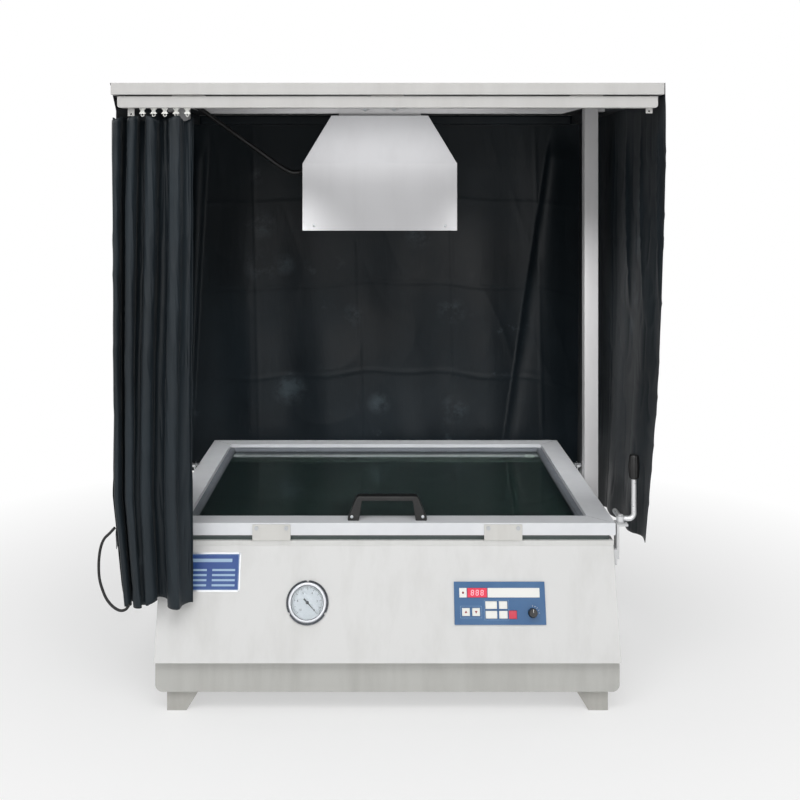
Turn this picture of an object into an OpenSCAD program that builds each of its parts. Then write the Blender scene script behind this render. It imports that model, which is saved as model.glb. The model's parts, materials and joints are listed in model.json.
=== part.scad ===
// Curtained exposure unit: a vacuum blanket under a hinged glass frame, on a sheet-metal cabinet,
// with a lamp hood hung from a gantry inside a curtained top frame.
// Millimetres. X runs to the right, Y to the rear, Z up. The origin is on the floor, under the centre.

/* [Glass frame] */
// Clear width between the frame rails
glass_w = 900; // [700:10:1100]
// Clear depth between the frame rails
glass_d = 700; // [560:10:820]
// Width of a frame rail seen from above
rail_w = 55; // [48:1:64]
// Height of a frame rail
rail_h = 27; // [24:1:32]
// Wall of the hollow rail
rail_wall = 2.5; // [2:0.25:3]
// Thickness of the glass
glass_t = 6; // [5:0.5:8]
// Depth of the groove that holds the edge of the glass
glass_groove = 8; // [6:0.5:10]
// Width of the glazing bead
bead_w = 15; // [10:1:20]
// Height of the glazing bead over the glass
bead_h = 9; // [6:0.5:10]
// Angle to which the frame opens
frame_open = 45; // [30:1:45]

/* [Cabinet] */
// How far the glass frame overhangs the cabinet on each side
frame_overhang = 5; // [4:0.5:8]
// Height of the feet
foot_h = 45; // [30:1:80]
// Height of the recessed band at the bottom
band_h = 69; // [50:1:90]
// Height of the sloped front panel
slope_h = 226; // [210:1:280]
// How far the sloped panel comes forward at its foot
slope_out = 80; // [60:1:110]
// Setback of the band behind the panel's foot
band_inset = 17; // [10:1:25]
// Height of the deck's rim
rim_h = 11; // [8:0.5:16]
// Sheet-metal thickness
sheet = 2; // [1.5:0.25:2.5]
// Width of the folded flanges
flange = 25; // [20:1:35]
// Radius of the band's lower corners
band_r = 16; // [8:1:25]
// Thickness of the rubber blanket
blanket_t = 3; // [2:0.5:4]
// Height of the blanket's sealing bead over the deck
seal_h = 12; // [11:0.5:16]
// Width of the sealing bead
seal_w = 28; // [20:1:36]
// Setback of the blanket from the deck's edge
seal_inset = 8; // [5:1:12]

/* [Controls] */
// Gauge centre, sideways from the middle
gauge_x = -174; // [-300:1:-60]
// Gauge centre, down the slope
gauge_down = 118; // [80:1:150]
// Radius of the gauge case
gauge_r = 38; // [30:1:42]
// Width of the control plate
plate_w = 198; // [190:1:230]
// Height of the control plate
plate_h = 88; // [84:1:100]
// Control plate centre, sideways from the middle
plate_x = 244; // [180:1:300]
// Control plate centre, down the slope
plate_down = 119; // [90:1:140]
// Thickness of the control plate
plate_t = 3; // [2:0.5:4]
// Travel of a key
key_travel = 0.8; // [0.4:0.1:1.2]

/* [Gantry and lamp] */
// Side of the square posts
post_side = 35; // [30:1:40]
// Gap between the cabinet side and a post
post_gap = 8; // [8:0.5:14]
// Height of the beam's underside over the floor
beam_z = 1323; // [1150:1:1500]
// Height of the beam
beam_h = 35; // [28:1:45]
// Thickness of the beam, front to back
beam_t = 30; // [24:1:35]
// Width of the lamp hood
hood_w = 378; // [320:1:460]
// Depth of the lamp hood
hood_d = 300; // [260:1:360]
// Height of the hood's straight walls
hood_wall_h = 164; // [130:1:200]
// Height of the hood's sloped roof
hood_roof_h = 122; // [90:1:150]
// Width of the roof's flat top
hood_top_w = 242; // [215:1:300]
// Depth of the roof's flat top
hood_top_d = 170; // [120:1:220]
// Gap between the hood and the beam
hood_drop = 10; // [8:1:20]
// Sideways place of the hood on the beam
hood_x = -17; // [-60:1:60]
// Radius of the reflector
reflector_r = 125; // [100:1:130]
// Radius of the lamp tube
lamp_r = 11; // [8:0.5:16]

/* [Top frame and curtains] */
// Room between the hold-down grips and the outside of the top frame
grip_room = 27.5; // [24:0.5:90]
// Depth of the top frame
top_d = 1010; // [1000:2:1200]
// Side of the top frame's square tube
top_tube = 25; // [20:1:30]
// Height of the curtain track
track_h = 24; // [22:1:34]
// Gap between the curtain track and the rail over it
track_gap = 3; // [2:0.5:6]
// Width of the curtain track, front to back
track_w = 27; // [24:1:34]
// Number of gliders that slide
glider_count = 5; // [5:1:5]
// Distance between gliders when the curtain is drawn aside
glider_pitch = 24; // [20:1:30]
// Thickness of a curtain with its folds pressed
cloth_t = 2.4; // [1.5:0.1:3]
// Height of the front curtain's hem over the floor
front_hem_z = 236; // [200:1:400]
// Height of the rear curtain's hem over the floor
rear_hem_z = 335; // [250:1:500]

/* [Handles, hinges and springs] */
// Overall width of the lift handle
handle_w = 176; // [140:1:200]
// Height of the lift handle
handle_h = 54; // [45:1:65]
// Width of a hinge
hinge_w = 80; // [60:1:120]
// Hinge centre, sideways from the middle
hinge_x = 330; // [200:1:400]
// Radius of the hinge knuckles
knuckle_r = 6; // [5:0.5:8]
// Radius of the hinge pins
pin_r = 3; // [2.5:0.25:4]
// Ball stud centre, behind the middle of the frame
stud_y = 172; // [120:1:220]
// Radius of the gas spring's tube
gas_tube_r = 9; // [8:0.5:11]
// Radius of the gas spring's rod
gas_rod_r = 4; // [3:0.5:5]
// Height of a hold-down lever's upright leg
lever_up = 88; // [70:1:110]
// Length of a hold-down lever's finger
finger_l = 58; // [40:1:70]

/* [Hidden] */

// Sides of the round pieces
$fn = 48;
// Gap between two pieces that only lie against each other
seat = 0.3;
// Running clearance of a pin in its bore
run = 0.05;
// Overlap used only when one shape is cut from another
cut = 1;

// Heights over the floor
band_z = foot_h;
crease_z = band_z + band_h;
panel_z = crease_z + slope_h;
deck_z = panel_z + rim_h;
frame_z = deck_z + seal_h;
frame_top_z = frame_z + rail_h;

// Plan sizes of the glass frame and the cabinet
frame_w = glass_w + 2 * rail_w;
frame_d = glass_d + 2 * rail_w;
body_w = frame_w - 2 * frame_overhang;
front_y = -frame_d / 2;
rear_y = frame_d / 2;
crease_y = front_y - slope_out;
band_y = crease_y + band_inset;

// The sloped front panel
slope_a = atan2(slope_out, slope_h);
slope_l = norm([slope_out, slope_h]);
sheet_across = sheet / cos(slope_a);

// Glass and bead
glass_under = 3;
glass_z = frame_z + glass_under;
blanket_w = body_w - 2 * seal_inset;
blanket_d = frame_d - 2 * seal_inset;

// Suction strip and nozzle at the rear of the blanket
strip_t = 2;
strip_d = 98;
strip_w = blanket_w - 2 * seal_w - 18;
strip_y = blanket_d / 2 - seal_w - 3 - strip_d / 2;
nozzle_x = 413;
nozzle_y = strip_y + 5;
nozzle_r = 14;
nozzle_cap_h = 5;
stem_r = 9;
stem_z = deck_z - 30;

// Hinges of the glass frame
leaf_t = 2.5;
hinge_gap = 2;
hinge_y = rear_y + hinge_gap + knuckle_r;
hinge_z = deck_z + seal_h / 2;
knuckle_count = 5;
knuckle_l = hinge_w / knuckle_count;
leaf_top = 25;
leaf_low = 47;

// Gas springs: both pivots lie on one circle round the hinge, so that the spring turns by half of
// the frame's angle
strut_x = frame_w / 2 + 20;
stud_z = frame_z + rail_h / 2;
stud_r = 4;
stud_reach = 28;
strut_radius = norm([hinge_y - stud_y, stud_z - hinge_z]);
anchor_a = 22;
anchor_y = hinge_y - strut_radius * sin(anchor_a);
anchor_z = hinge_z - strut_radius * cos(anchor_a);
strut_a = atan2(anchor_y - stud_y, stud_z - anchor_z);
strut_l = norm([anchor_y - stud_y, stud_z - anchor_z]);
stud_a = atan2(stud_z - hinge_z, stud_y - hinge_y);
chord_a = 270 - anchor_a - stud_a;
strut_open_l = 2 * strut_radius * sin((chord_a + frame_open) / 2);
eye_r = 8;
eye_t = 8;
gas_tube_start = 16;
gas_tube_l = strut_l * 0.63;
gas_cap = 6;
gas_bore_r = gas_tube_r - 1.5;
gas_rod_l = strut_open_l - gas_tube_start - gas_tube_l + 26;
gas_clear = 0.2;

// Hold-down levers
lever_r = 6;
lever_boss_r = 9;
lever_x = frame_w / 2 + 13;
lever_y = front_y + 13;
lever_out = 30;
lever_z = frame_top_z + seat + lever_r;
grip_r = 11.5;
grip_l = 54;
bracket_t = 5;
bracket_w = 34;
bracket_low = 77;

// Gantry and top frame
post_x = body_w / 2 + post_gap + post_side / 2;
post_wall = 2;
post_foot_z = foot_h + 18;
beam_top_z = beam_z + beam_h;
beam_l = 2 * (post_x - post_side / 2);
beam_taper = 56;
beam_rise = 15;
top_z = beam_top_z - 5;
top_w = 2 * (lever_x + lever_out + grip_r + grip_room);
rail_under_z = top_z - top_tube;

// Curtain track under the front rail
track_y = -top_d / 2 + 8 + track_w / 2;
track_l = top_w - 24;
track_z = rail_under_z - track_h - track_gap;
track_wall = 2;
track_slot = 8;
track_r = 6;
cap_t = 3;
glider_w = 14;
glider_first_x = -track_l / 2 + 27;
hook_h = 17;
stop_x = track_l / 2 - 16;

// Lamp hood
hood_sheet = 1.5;
hood_top_z = beam_z - hood_drop;
hood_h = hood_wall_h + hood_roof_h;
hood_z = hood_top_z - hood_h;
bracket_wall = 4;
bracket_l = 210;
bracket_up = 19;
slot_x = 37;
reflector_t = 1;
reflector_z = hood_z + 72;
lamp_z = hood_z + 84;
lamp_l = 210;
socket_side = 26;
socket_l = 30;
gland_z = hood_z + 146;
gland_r = 8;
gland_nut_r = 13;
gland_nut_l = 8;
gland_dome_l = 10;
cable_r = 6;

// Cable from the gland up to the left post, where it enters the hollow tube
cable_hole_z = top_z - 8;
cable_start_x = hood_x - hood_w / 2 - gland_nut_l - gland_dome_l;
cable_points = [
    [cable_start_x, 0, gland_z],
    [cable_start_x - 21, 0, gland_z],
    [cable_start_x - 53, -6, gland_z + 17],
    [cable_start_x - 101, -12, gland_z + 52],
    [-post_x + 140, -20, cable_hole_z - 77],
    [-post_x + 81, -28, cable_hole_z - 34],
    [-post_x + 45, -36, cable_hole_z - 9],
    [-post_x + 22, -45, cable_hole_z - 1],
    [-post_x + 6, -44, cable_hole_z],
    [-post_x, -32, cable_hole_z],
    [-post_x, -13, cable_hole_z]
];

// Hose from the nozzle's stem to the pump's inlet
hose_r = 11;
pump_x = 210;
pump_y = 170;
pump_r = 62;
pump_l = 180;
pump_head_l = 80;
pump_port_r = 11;
pump_port_h = 28;
pump_floor_z = band_z + sheet;
pump_z = pump_floor_z + pump_r + 14;
pump_port_x = pump_x + pump_l / 2 + pump_head_l / 2;
pump_port_z = pump_z + pump_r - 12 + pump_port_h;
ballast_w = 150;
ballast_d = 96;
ballast_h = 90;
ballast_x = -300;
ballast_y = 120;
hose_points = [
    [nozzle_x, nozzle_y, stem_z],
    [nozzle_x, nozzle_y, stem_z - 22],
    [nozzle_x - 6, nozzle_y - 18, stem_z - 48],
    [nozzle_x - 28, nozzle_y - 62, stem_z - 62],
    [pump_port_x + 18, pump_y + 34, pump_port_z + 50],
    [pump_port_x + 2, pump_y + 4, pump_port_z + 36],
    [pump_port_x, pump_y, pump_port_z + 16],
    [pump_port_x, pump_y, pump_port_z]
];

// Keys: name order, place on the plate from its centre (right, up) and size
key_small = 16;
keys = [
    [-74, -18, 16.5, 16],
    [-52, -18, 16.5, 16],
    [-19, -4, 25, 15.5],
    [7, -4, 18, 15.5],
    [-19, -23.5, 25, 15.5],
    [7, -23.5, 18, 15.5],
    [27.5, -23.5, 17, 16.5]
];
key_rise = 1.4;
key_flange = 1;
key_flange_t = 1.7;
key_gap = 0.3;
knob_at = [70.5, -20];
knob_r = 10.5;
knob_h = 14;
knob_shaft_r = 3;
display_at = [-48.5, 21.3];
display_size = [43, 19.5];
board_t = 1.6;
board_back = 13;
board_side = 8;

// Small shared shapes

// A point on the sloped panel, with local Z out of the panel and local Y up the slope
module on_slope(x, down) {
    translate([x, front_y - down * sin(slope_a), panel_z - down * cos(slope_a)])
        rotate([90 - slope_a, 0, 0])
            children();
}

// A profile drawn as (Y, Z), extruded along X and centred on it
module along_x(l) {
    translate([-l / 2, 0, 0])
        rotate([90, 0, 90])
            linear_extrude(l)
                children();
}

// A profile drawn as (X, Z), extruded along Y and centred on it
module along_y(l) {
    translate([0, l / 2, 0])
        rotate([90, 0, 0])
            linear_extrude(l)
                children();
}

// A box centred in X and Y that stands on its own base
module block(size) {
    translate([-size[0] / 2, -size[1] / 2, 0])
        cube(size);
}

// A cylinder along X, from its left end
module rod_x(r, l) {
    rotate([0, 90, 0])
        cylinder(r = r, h = l);
}

// The same child on the right and mirrored on the left
module both_sides() {
    children();
    mirror([1, 0, 0])
        children();
}

// A quarter bend of a round rod, from along X to along Z
module bend(rod_r, bend_r) {
    translate([0, 0, bend_r])
        rotate([90, 0, 0])
            rotate([0, 0, -90])
                rotate_extrude(angle = 90)
                    translate([bend_r, 0])
                        circle(rod_r);
}

// Functions for swept tubes and cloth

function unit(v) = v / norm(v);

function curve_point(p0, p1, p2, p3, t) =
    0.5 * (2 * p1 + (p2 - p0) * t + (2 * p0 - 5 * p1 + 4 * p2 - p3) * t * t
    + (3 * p1 - p0 - 3 * p2 + p3) * t * t * t);

function curve(points, steps) = [
    for (i = [0 : len(points) - 2], s = [0 : steps - 1])
        curve_point(points[max(i - 1, 0)], points[i], points[i + 1],
            points[min(i + 2, len(points) - 1)], s / steps),
    points[len(points) - 1]
];

function ring(centre, ahead, r, sides) =
    let (
        side = unit(cross(ahead, [0.31, 0.9, 0.3])),
        up = cross(side, ahead)
    )
    [for (k = [0 : sides - 1]) centre + r * (cos(360 * k / sides) * side + sin(360 * k / sides) * up)];

// A round tube swept along a smooth curve through the points
module swept_tube(points, r, sides, steps) {
    path = curve(points, steps);
    last = len(path) - 1;
    rings = [
        for (i = [0 : last])
            ring(
                path[i],
                unit(i == 0 ? points[1] - points[0]
                    : i == last ? points[len(points) - 1] - points[len(points) - 2]
                    : path[i + 1] - path[i - 1]),
                r, sides
            )
    ];
    walls = [
        for (i = [0 : last - 1], k = [0 : sides - 1])
            let (a = i * sides + k, b = i * sides + (k + 1) % sides)
                each [[a, a + sides, b], [b, a + sides, b + sides]]
    ];
    ends = [
        for (k = [1 : sides - 2])
            each [[0, k, k + 1], [last * sides, last * sides + k + 1, last * sides + k]]
    ];
    polyhedron(points = [for (one = rings) each one], faces = concat(walls, ends));
}

// A closed sheet between two grids of points that face each other
module cloth(near, far) {
    columns = len(near);
    rows = len(near[0]);
    size = columns * rows;
    points = concat([for (one = near) each one], [for (one = far) each one]);
    faces = concat(
        [for (i = [0 : columns - 2], j = [0 : rows - 2])
            let (a = i * rows + j, b = a + rows)
                each [[a, b, a + 1], [a + 1, b, b + 1],
                    [size + a, size + a + 1, size + b], [size + a + 1, size + b + 1, size + b]]],
        [for (i = [0 : columns - 2])
            let (a = i * rows, b = a + rows, c = a + rows - 1, d = b + rows - 1)
                each [[a, size + a, b], [b, size + a, size + b],
                    [c, d, size + c], [d, size + d, size + c]]],
        [for (j = [0 : rows - 2])
            let (a = j, b = (columns - 1) * rows + j)
                each [[a, a + 1, size + a], [a + 1, size + a + 1, size + a],
                    [b, size + b, b + 1], [b + 1, size + b, size + b + 1]]]
    );
    polyhedron(points = points, faces = faces);
}

// Cabinet

// Side view of the sloped front with its folded flanges
module front_sheet_profile() {
    polygon([
        [crease_y, crease_z],
        [front_y, panel_z],
        [front_y + sheet_across, panel_z],
        [crease_y + sheet_across, crease_z]
    ]);
}

module front_sheet() {
    along_x(body_w)
        front_sheet_profile();
    along_x(body_w - 2 * sheet) {
        translate([front_y, panel_z - sheet])
            square([flange, sheet]);
        translate([crease_y + sheet, crease_z])
            square([flange, sheet]);
    }
}

module side_sheet() {
    translate([body_w / 2 - sheet / 2, 0, 0])
        along_x(sheet)
            polygon([
                [crease_y + sheet_across / 2, crease_z],
                [front_y + sheet_across / 2, panel_z],
                [rear_y, panel_z],
                [rear_y, crease_z]
            ]);
    translate([body_w / 2 - sheet - flange, front_y + flange, panel_z - sheet])
        cube([flange, frame_d - flange - sheet, sheet]);
}

module cabinet_shell() {
    color("#E2E2E0") {
        difference() {
            front_sheet();
            on_slope(gauge_x, gauge_down)
                translate([0, 0, -2 * sheet])
                    cylinder(r = gauge_r + seat, h = 4 * sheet);
            on_slope(plate_x, plate_down)
                translate([0, 0, -2 * sheet])
                    block([plate_w - 2 * board_side, plate_h - 2 * board_side, 4 * sheet]);
        }
        both_sides()
            side_sheet();
    }
}

vent_count = 9;
vent_pitch = 12;
vent_w = 90;
vent_h = 5;
inlet_x = -330;
inlet_z = crease_z + 60;
inlet_w = 28;
inlet_h = 20;

module rear_panel() {
    color("#DCDCDA")
        difference() {
            translate([0, rear_y - sheet, crease_z])
                translate([-body_w / 2 + sheet, 0, 0])
                    cube([body_w - 2 * sheet, sheet, slope_h]);
            for (side = [-1, 1], k = [0 : vent_count - 1])
                translate([side * 190 - vent_w / 2, rear_y - 2 * sheet, crease_z + 60 + k * vent_pitch])
                    cube([vent_w, 3 * sheet, vent_h]);
            translate([inlet_x, rear_y - 2 * sheet, inlet_z])
                translate([-inlet_w / 2, 0, -inlet_h / 2])
                    cube([inlet_w, 3 * sheet, inlet_h]);
        }
}

// Mains inlet: a flange on the rear panel and a recessed cup with three blades
module power_inlet() {
    depth = 22;
    lip = 11;
    color("#1C1C1E")
        translate([inlet_x, rear_y, inlet_z])
            difference() {
                union() {
                    translate([-inlet_w / 2 - lip, 0, -inlet_h / 2 - 4])
                        cube([inlet_w + 2 * lip, 3, inlet_h + 8]);
                    translate([-inlet_w / 2 + seat, -depth, -inlet_h / 2 + seat])
                        cube([inlet_w - 2 * seat, depth + cut, inlet_h - 2 * seat]);
                }
                difference() {
                    translate([-inlet_w / 2 + 2, -depth + 3, -inlet_h / 2 + 2])
                        cube([inlet_w - 4, depth + cut, inlet_h - 4]);
                    for (at = [[-7, -2], [0, 2], [7, -2]])
                        translate([at[0] - 1, -depth, at[1] - 2])
                            cube([2, 15, 4]);
                }
            }
}

// Outline of the band with rounded lower corners
module band_outline(w, h, r) {
    translate([-w / 2, r])
        square([w, h - r]);
    translate([-w / 2 + r, 0])
        square([w - 2 * r, h]);
    for (side = [-1, 1])
        translate([side * (w / 2 - r), r])
            circle(r);
}

module base_tray() {
    depth = rear_y - band_y;
    middle_y = (rear_y + band_y) / 2;
    color("#C6C6C1")
        translate([0, middle_y, band_z])
            difference() {
                along_y(depth)
                    band_outline(body_w, band_h, band_r);
                translate([0, 0, sheet])
                    along_y(depth - 2 * sheet)
                        band_outline(body_w - 2 * sheet, band_h + band_r, band_r - sheet);
            }
}

module deck() {
    color("#E6E6E3")
        difference() {
            translate([0, 0, panel_z])
                block([body_w, frame_d, rim_h]);
            translate([0, 0, panel_z - cut])
                block([body_w - 2 * sheet, frame_d - 2 * sheet, rim_h - sheet + cut]);
            translate([nozzle_x, nozzle_y, panel_z])
                cylinder(r = stem_r + run, h = rim_h + cut);
        }
}

// A folded foot: outer edge upright, inner edge slanted
foot_top_w = 70;
foot_low_w = 42;
foot_depth = 70;
foot_sheet = 3;
foot_x = 477;
foot_front_y = band_y + 12;
foot_rear_y = rear_y - 12 - foot_depth;

module foot() {
    difference() {
        translate([0, foot_depth / 2, 0])
            along_y(foot_depth)
                polygon([[0, 0], [0, foot_h], [-foot_top_w, foot_h], [-foot_low_w, 0]]);
        translate([0, foot_depth / 2 + foot_sheet, foot_sheet])
            along_y(foot_depth)
                polygon([
                    [-foot_sheet, 0],
                    [-foot_sheet, foot_h - 2 * foot_sheet],
                    [-foot_top_w + 2 * foot_sheet, foot_h - 2 * foot_sheet],
                    [-foot_low_w + foot_sheet, 0]
                ]);
    }
}

module feet() {
    color("#E8E6DA")
        both_sides() {
            translate([foot_x, foot_front_y, 0])
                foot();
            translate([foot_x, foot_rear_y + foot_depth, 0])
                mirror([0, 1, 0])
                    foot();
        }
}

// Vacuum blanket

module rubber_blanket() {
    color("#1F2624")
        difference() {
            translate([0, 0, deck_z])
                block([blanket_w, blanket_d, seal_h]);
            translate([0, 0, deck_z + blanket_t])
                block([blanket_w - 2 * seal_w, blanket_d - 2 * seal_w, seal_h]);
            translate([nozzle_x, nozzle_y, deck_z - cut])
                cylinder(r = stem_r + run, h = blanket_t + 2 * cut);
        }
}

// Suction strip on the blanket and the nozzle through it
module vacuum_nozzle() {
    strip_z = deck_z + blanket_t;
    color("#8A8F8E")
        difference() {
            translate([0, strip_y, strip_z])
                block([strip_w, strip_d, strip_t]);
            translate([nozzle_x, nozzle_y, strip_z - cut])
                cylinder(r = stem_r + run, h = strip_t + 2 * cut);
        }
    color("#F2F2EE")
        translate([nozzle_x, nozzle_y, 0])
            difference() {
                union() {
                    translate([0, 0, stem_z])
                        cylinder(r = stem_r, h = strip_z + strip_t - stem_z);
                    translate([0, 0, strip_z + strip_t])
                        cylinder(r = nozzle_r, h = nozzle_cap_h);
                }
                translate([0, 0, stem_z + 12])
                    cylinder(r = stem_r - 3, h = deck_z + seal_h - stem_z);
            }
}

// Glass frame

// Section of a rail, from its outer face inwards: hollow, with a groove for the glass
module rail_profile() {
    corner_r = 2;
    groove_back = glass_groove + rail_wall;
    difference() {
        union() {
            square([rail_w, rail_h - corner_r]);
            translate([corner_r, 0])
                square([rail_w - corner_r, rail_h]);
            translate([corner_r, rail_h - corner_r])
                circle(corner_r);
        }
        translate([rail_wall, rail_wall])
            square([rail_w - groove_back - rail_wall, rail_h - 2 * rail_wall]);
        translate([rail_w - glass_groove, glass_under])
            square([glass_groove + cut, glass_t]);
    }
}

// A strip with a given section, mitred at both ends, along X from the origin
module mitred(l, w, h) {
    intersection() {
        rotate([90, 0, 90])
            linear_extrude(l)
                children();
        linear_extrude(h)
            polygon([[0, 0], [l, 0], [l - w, w], [w, w]]);
    }
}

// Four mitred strips round a rectangle
module mitred_ring(w, d, strip, h) {
    for (turn = [0, 180])
        rotate([0, 0, turn])
            translate([-w / 2, -d / 2, 0])
                mitred(w, strip, h)
                    children();
    for (turn = [90, -90])
        rotate([0, 0, turn])
            translate([-d / 2, -w / 2, 0])
                mitred(d, strip, h)
                    children();
}

module glass_frame_rails() {
    color("#CDD0D2")
        difference() {
            translate([0, 0, frame_z])
                mitred_ring(frame_w, frame_d, rail_w, rail_h)
                    rail_profile();
            screw_places()
                rod_y(screw_r + run, 2 * screw_l);
        }
}

module glazing_beads() {
    slope = 3;
    color("#9EA3A6")
        translate([0, 0, glass_z + glass_t])
            mitred_ring(glass_w, glass_d, bead_w, bead_h)
                polygon([[0, 0], [bead_w, 0], [bead_w, bead_h - 2 * slope], [bead_w - slope, bead_h], [0, bead_h]]);
}

module glass_pane() {
    edge = glass_groove - seat;
    color("#9FB8B4", 0.4)
        translate([0, 0, glass_z])
            block([glass_w + 2 * edge, glass_d + 2 * edge, glass_t]);
}

// Bridge handle on top of the front rail
handle_depth = 24;
handle_foot = 25;
handle_bar = 10;

module lift_handle() {
    lean = 7;
    shoulder = 18;
    half = handle_w / 2;
    color("#161616")
        translate([0, front_y + rail_w / 2, frame_top_z])
            along_y(handle_depth)
                difference() {
                    polygon([
                        [-half, 0], [-half, 5], [-half + shoulder, handle_h - 5], [-half + shoulder + 5, handle_h],
                        [half - shoulder - 5, handle_h], [half - shoulder, handle_h - 5], [half, 5], [half, 0]
                    ]);
                    polygon([
                        [-half + handle_foot, -cut], [-half + handle_foot, 2],
                        [-half + handle_foot + lean, handle_h - handle_bar],
                        [half - handle_foot - lean, handle_h - handle_bar],
                        [half - handle_foot, 2], [half - handle_foot, -cut]
                    ]);
                }
}

// Two plates that hang in front of the blanket's edge
catch_w = 84;
catch_h = 35;
catch_t = 3;
catch_x = 256;
catch_z = deck_z + 1;
screw_r = 2;
screw_l = 9;
screw_head_r = 4.5;
screw_head_t = 2.4;
screw_apart = 66;
screw_z = catch_z + catch_h - 7.5;

// A cylinder along Y, centred on the origin
module rod_y(r, l) {
    rotate([90, 0, 0])
        translate([0, 0, -l / 2])
            cylinder(r = r, h = l);
}

module screw_places() {
    for (side = [-1, 1], end = [-1, 1])
        translate([side * catch_x + end * screw_apart / 2, front_y, screw_z])
            children();
}

module catch_plates() {
    color("#D5D5D2")
        difference() {
            for (side = [-1, 1])
                translate([side * catch_x, front_y - catch_t / 2, catch_z])
                    block([catch_w, catch_t, catch_h]);
            screw_places()
                rod_y(screw_r + run, 2 * screw_l);
        }
}

// Screws of the catch plates and ball studs of the gas springs
module frame_fasteners() {
    color("#B9BBBD") {
        screw_places() {
            translate([0, -catch_t - screw_head_t / 2, 0])
                rod_y(screw_head_r, screw_head_t);
            translate([0, screw_l / 2 - catch_t, 0])
                rod_y(screw_r, screw_l);
        }
        both_sides()
            translate([frame_w / 2, stud_y, stud_z]) {
                rod_x(7, 3);
                rod_x(stud_r, stud_reach);
                translate([stud_reach - 3, 0, 0])
                    rod_x(6, 3);
            }
    }
}

// Hinge knuckles with the chosen numbers, on the hinge line
module knuckles(which, bore) {
    for (k = which)
        translate([-hinge_w / 2 + k * knuckle_l + seat / 2, hinge_y, hinge_z])
            difference() {
                rod_x(knuckle_r, knuckle_l - seat);
                translate([-cut, 0, 0])
                    rod_x(bore, knuckle_l + 2 * cut);
            }
}

// Tabs that join a leaf to its own knuckles, with the pin's bore cut clear
module leaf_tabs(which, z_low, z_high, bore) {
    difference() {
        for (k = which)
            translate([-hinge_w / 2 + k * knuckle_l + seat / 2, rear_y, z_low])
                cube([knuckle_l - seat, leaf_t, z_high - z_low]);
        translate([-hinge_w / 2 - cut, hinge_y, hinge_z])
            rod_x(bore, hinge_w + 2 * cut);
    }
}

module frame_hinge_leaves() {
    color("#AEB0B2")
        both_sides()
            translate([hinge_x, 0, 0]) {
                knuckles([1, 3], pin_r + run);
                leaf_tabs([1, 3], hinge_z, frame_z + 3, pin_r + run);
                translate([-hinge_w / 2, rear_y, frame_z + 2])
                    cube([hinge_w, leaf_t, leaf_top - 4]);
            }
}

module base_hinge_leaves() {
    color("#AEB0B2")
        both_sides()
            translate([hinge_x, 0, 0]) {
                knuckles([0, 2, 4], pin_r + run);
                leaf_tabs([0, 2, 4], deck_z - 8, hinge_z, pin_r + run);
                translate([-hinge_w / 2, rear_y, hinge_z - leaf_low])
                    cube([hinge_w, leaf_t, deck_z - 6 - hinge_z + leaf_low]);
            }
}

module hinge_pins() {
    head = 1.5;
    color("#8E9092")
        both_sides()
            translate([hinge_x - hinge_w / 2 - seat, hinge_y, hinge_z]) {
                rod_x(pin_r, hinge_w + 2 * seat);
                translate([-head, 0, 0])
                    rod_x(pin_r + 1.5, head);
                translate([hinge_w + 2 * seat, 0, 0])
                    rod_x(pin_r + 1.5, head);
            }
}

// Gas springs and hold-downs

// Bracket of a hold-down lever and anchor plate of a gas spring, on the cabinet side
module side_bracket() {
    flange_z = frame_top_z - bracket_t - 2;
    reach = 25;
    plate_x0 = frame_w / 2 + 2;
    translate([body_w / 2, lever_y - bracket_w / 2, deck_z - rim_h - 42])
        cube([plate_x0 - body_w / 2, bracket_w, 34]);
    translate([plate_x0, lever_y - bracket_w / 2, flange_z + bracket_t - bracket_low])
        cube([bracket_t, bracket_w, bracket_low]);
    translate([plate_x0, lever_y - bracket_w / 2, flange_z])
        cube([reach, bracket_w, bracket_t]);
    translate([lever_x, lever_y, flange_z + bracket_t])
        cylinder(r = stud_r, h = lever_z + lever_r + seat - flange_z - bracket_t);
    translate([lever_x, lever_y, flange_z + bracket_t])
        cylinder(r = 8, h = 2);
    translate([lever_x, lever_y, lever_z + lever_r + seat])
        cylinder(r = 6, h = 2.5);
}

module strut_anchor() {
    plate = 44;
    translate([body_w / 2, anchor_y - plate / 2, anchor_z - plate / 2])
        cube([3, plate, plate]);
    translate([body_w / 2 + 3, anchor_y, anchor_z]) {
        rod_x(7, strut_x - eye_t / 2 - 1 - body_w / 2 - 3);
        rod_x(stud_r, strut_x + eye_t / 2 + 4 - body_w / 2 - 3);
        translate([strut_x + eye_t / 2 + 1 - body_w / 2 - 3, 0, 0])
            rod_x(6, 3);
    }
}

module side_brackets() {
    color("#C4C6C8")
        both_sides() {
            side_bracket();
            strut_anchor();
        }
}

// An eye on a stud, with the spring's axis along local Z
module strut_eye() {
    difference() {
        union() {
            translate([-eye_t / 2, 0, 0])
                rod_x(eye_r, eye_t);
            translate([0, 0, eye_r - 2])
                cylinder(r = stud_r, h = gas_tube_start - eye_r + 2);
        }
        translate([-eye_t, 0, 0])
            rod_x(stud_r + run, 2 * eye_t);
    }
}

module gas_cylinder(side) {
    color("#2A2B2D")
        translate([side * strut_x, anchor_y, anchor_z])
            rotate([strut_a, 0, 0]) {
                strut_eye();
                translate([0, 0, gas_tube_start])
                    difference() {
                        cylinder(r = gas_tube_r, h = gas_tube_l);
                        translate([0, 0, 4])
                            cylinder(r = gas_bore_r, h = gas_tube_l - 4 - gas_cap);
                        translate([0, 0, gas_tube_l - gas_cap - cut])
                            cylinder(r = gas_rod_r + gas_clear, h = gas_cap + 2 * cut);
                    }
            }
}

module left_gas_cylinder() {
    gas_cylinder(-1);
}

module right_gas_cylinder() {
    gas_cylinder(1);
}

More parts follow.
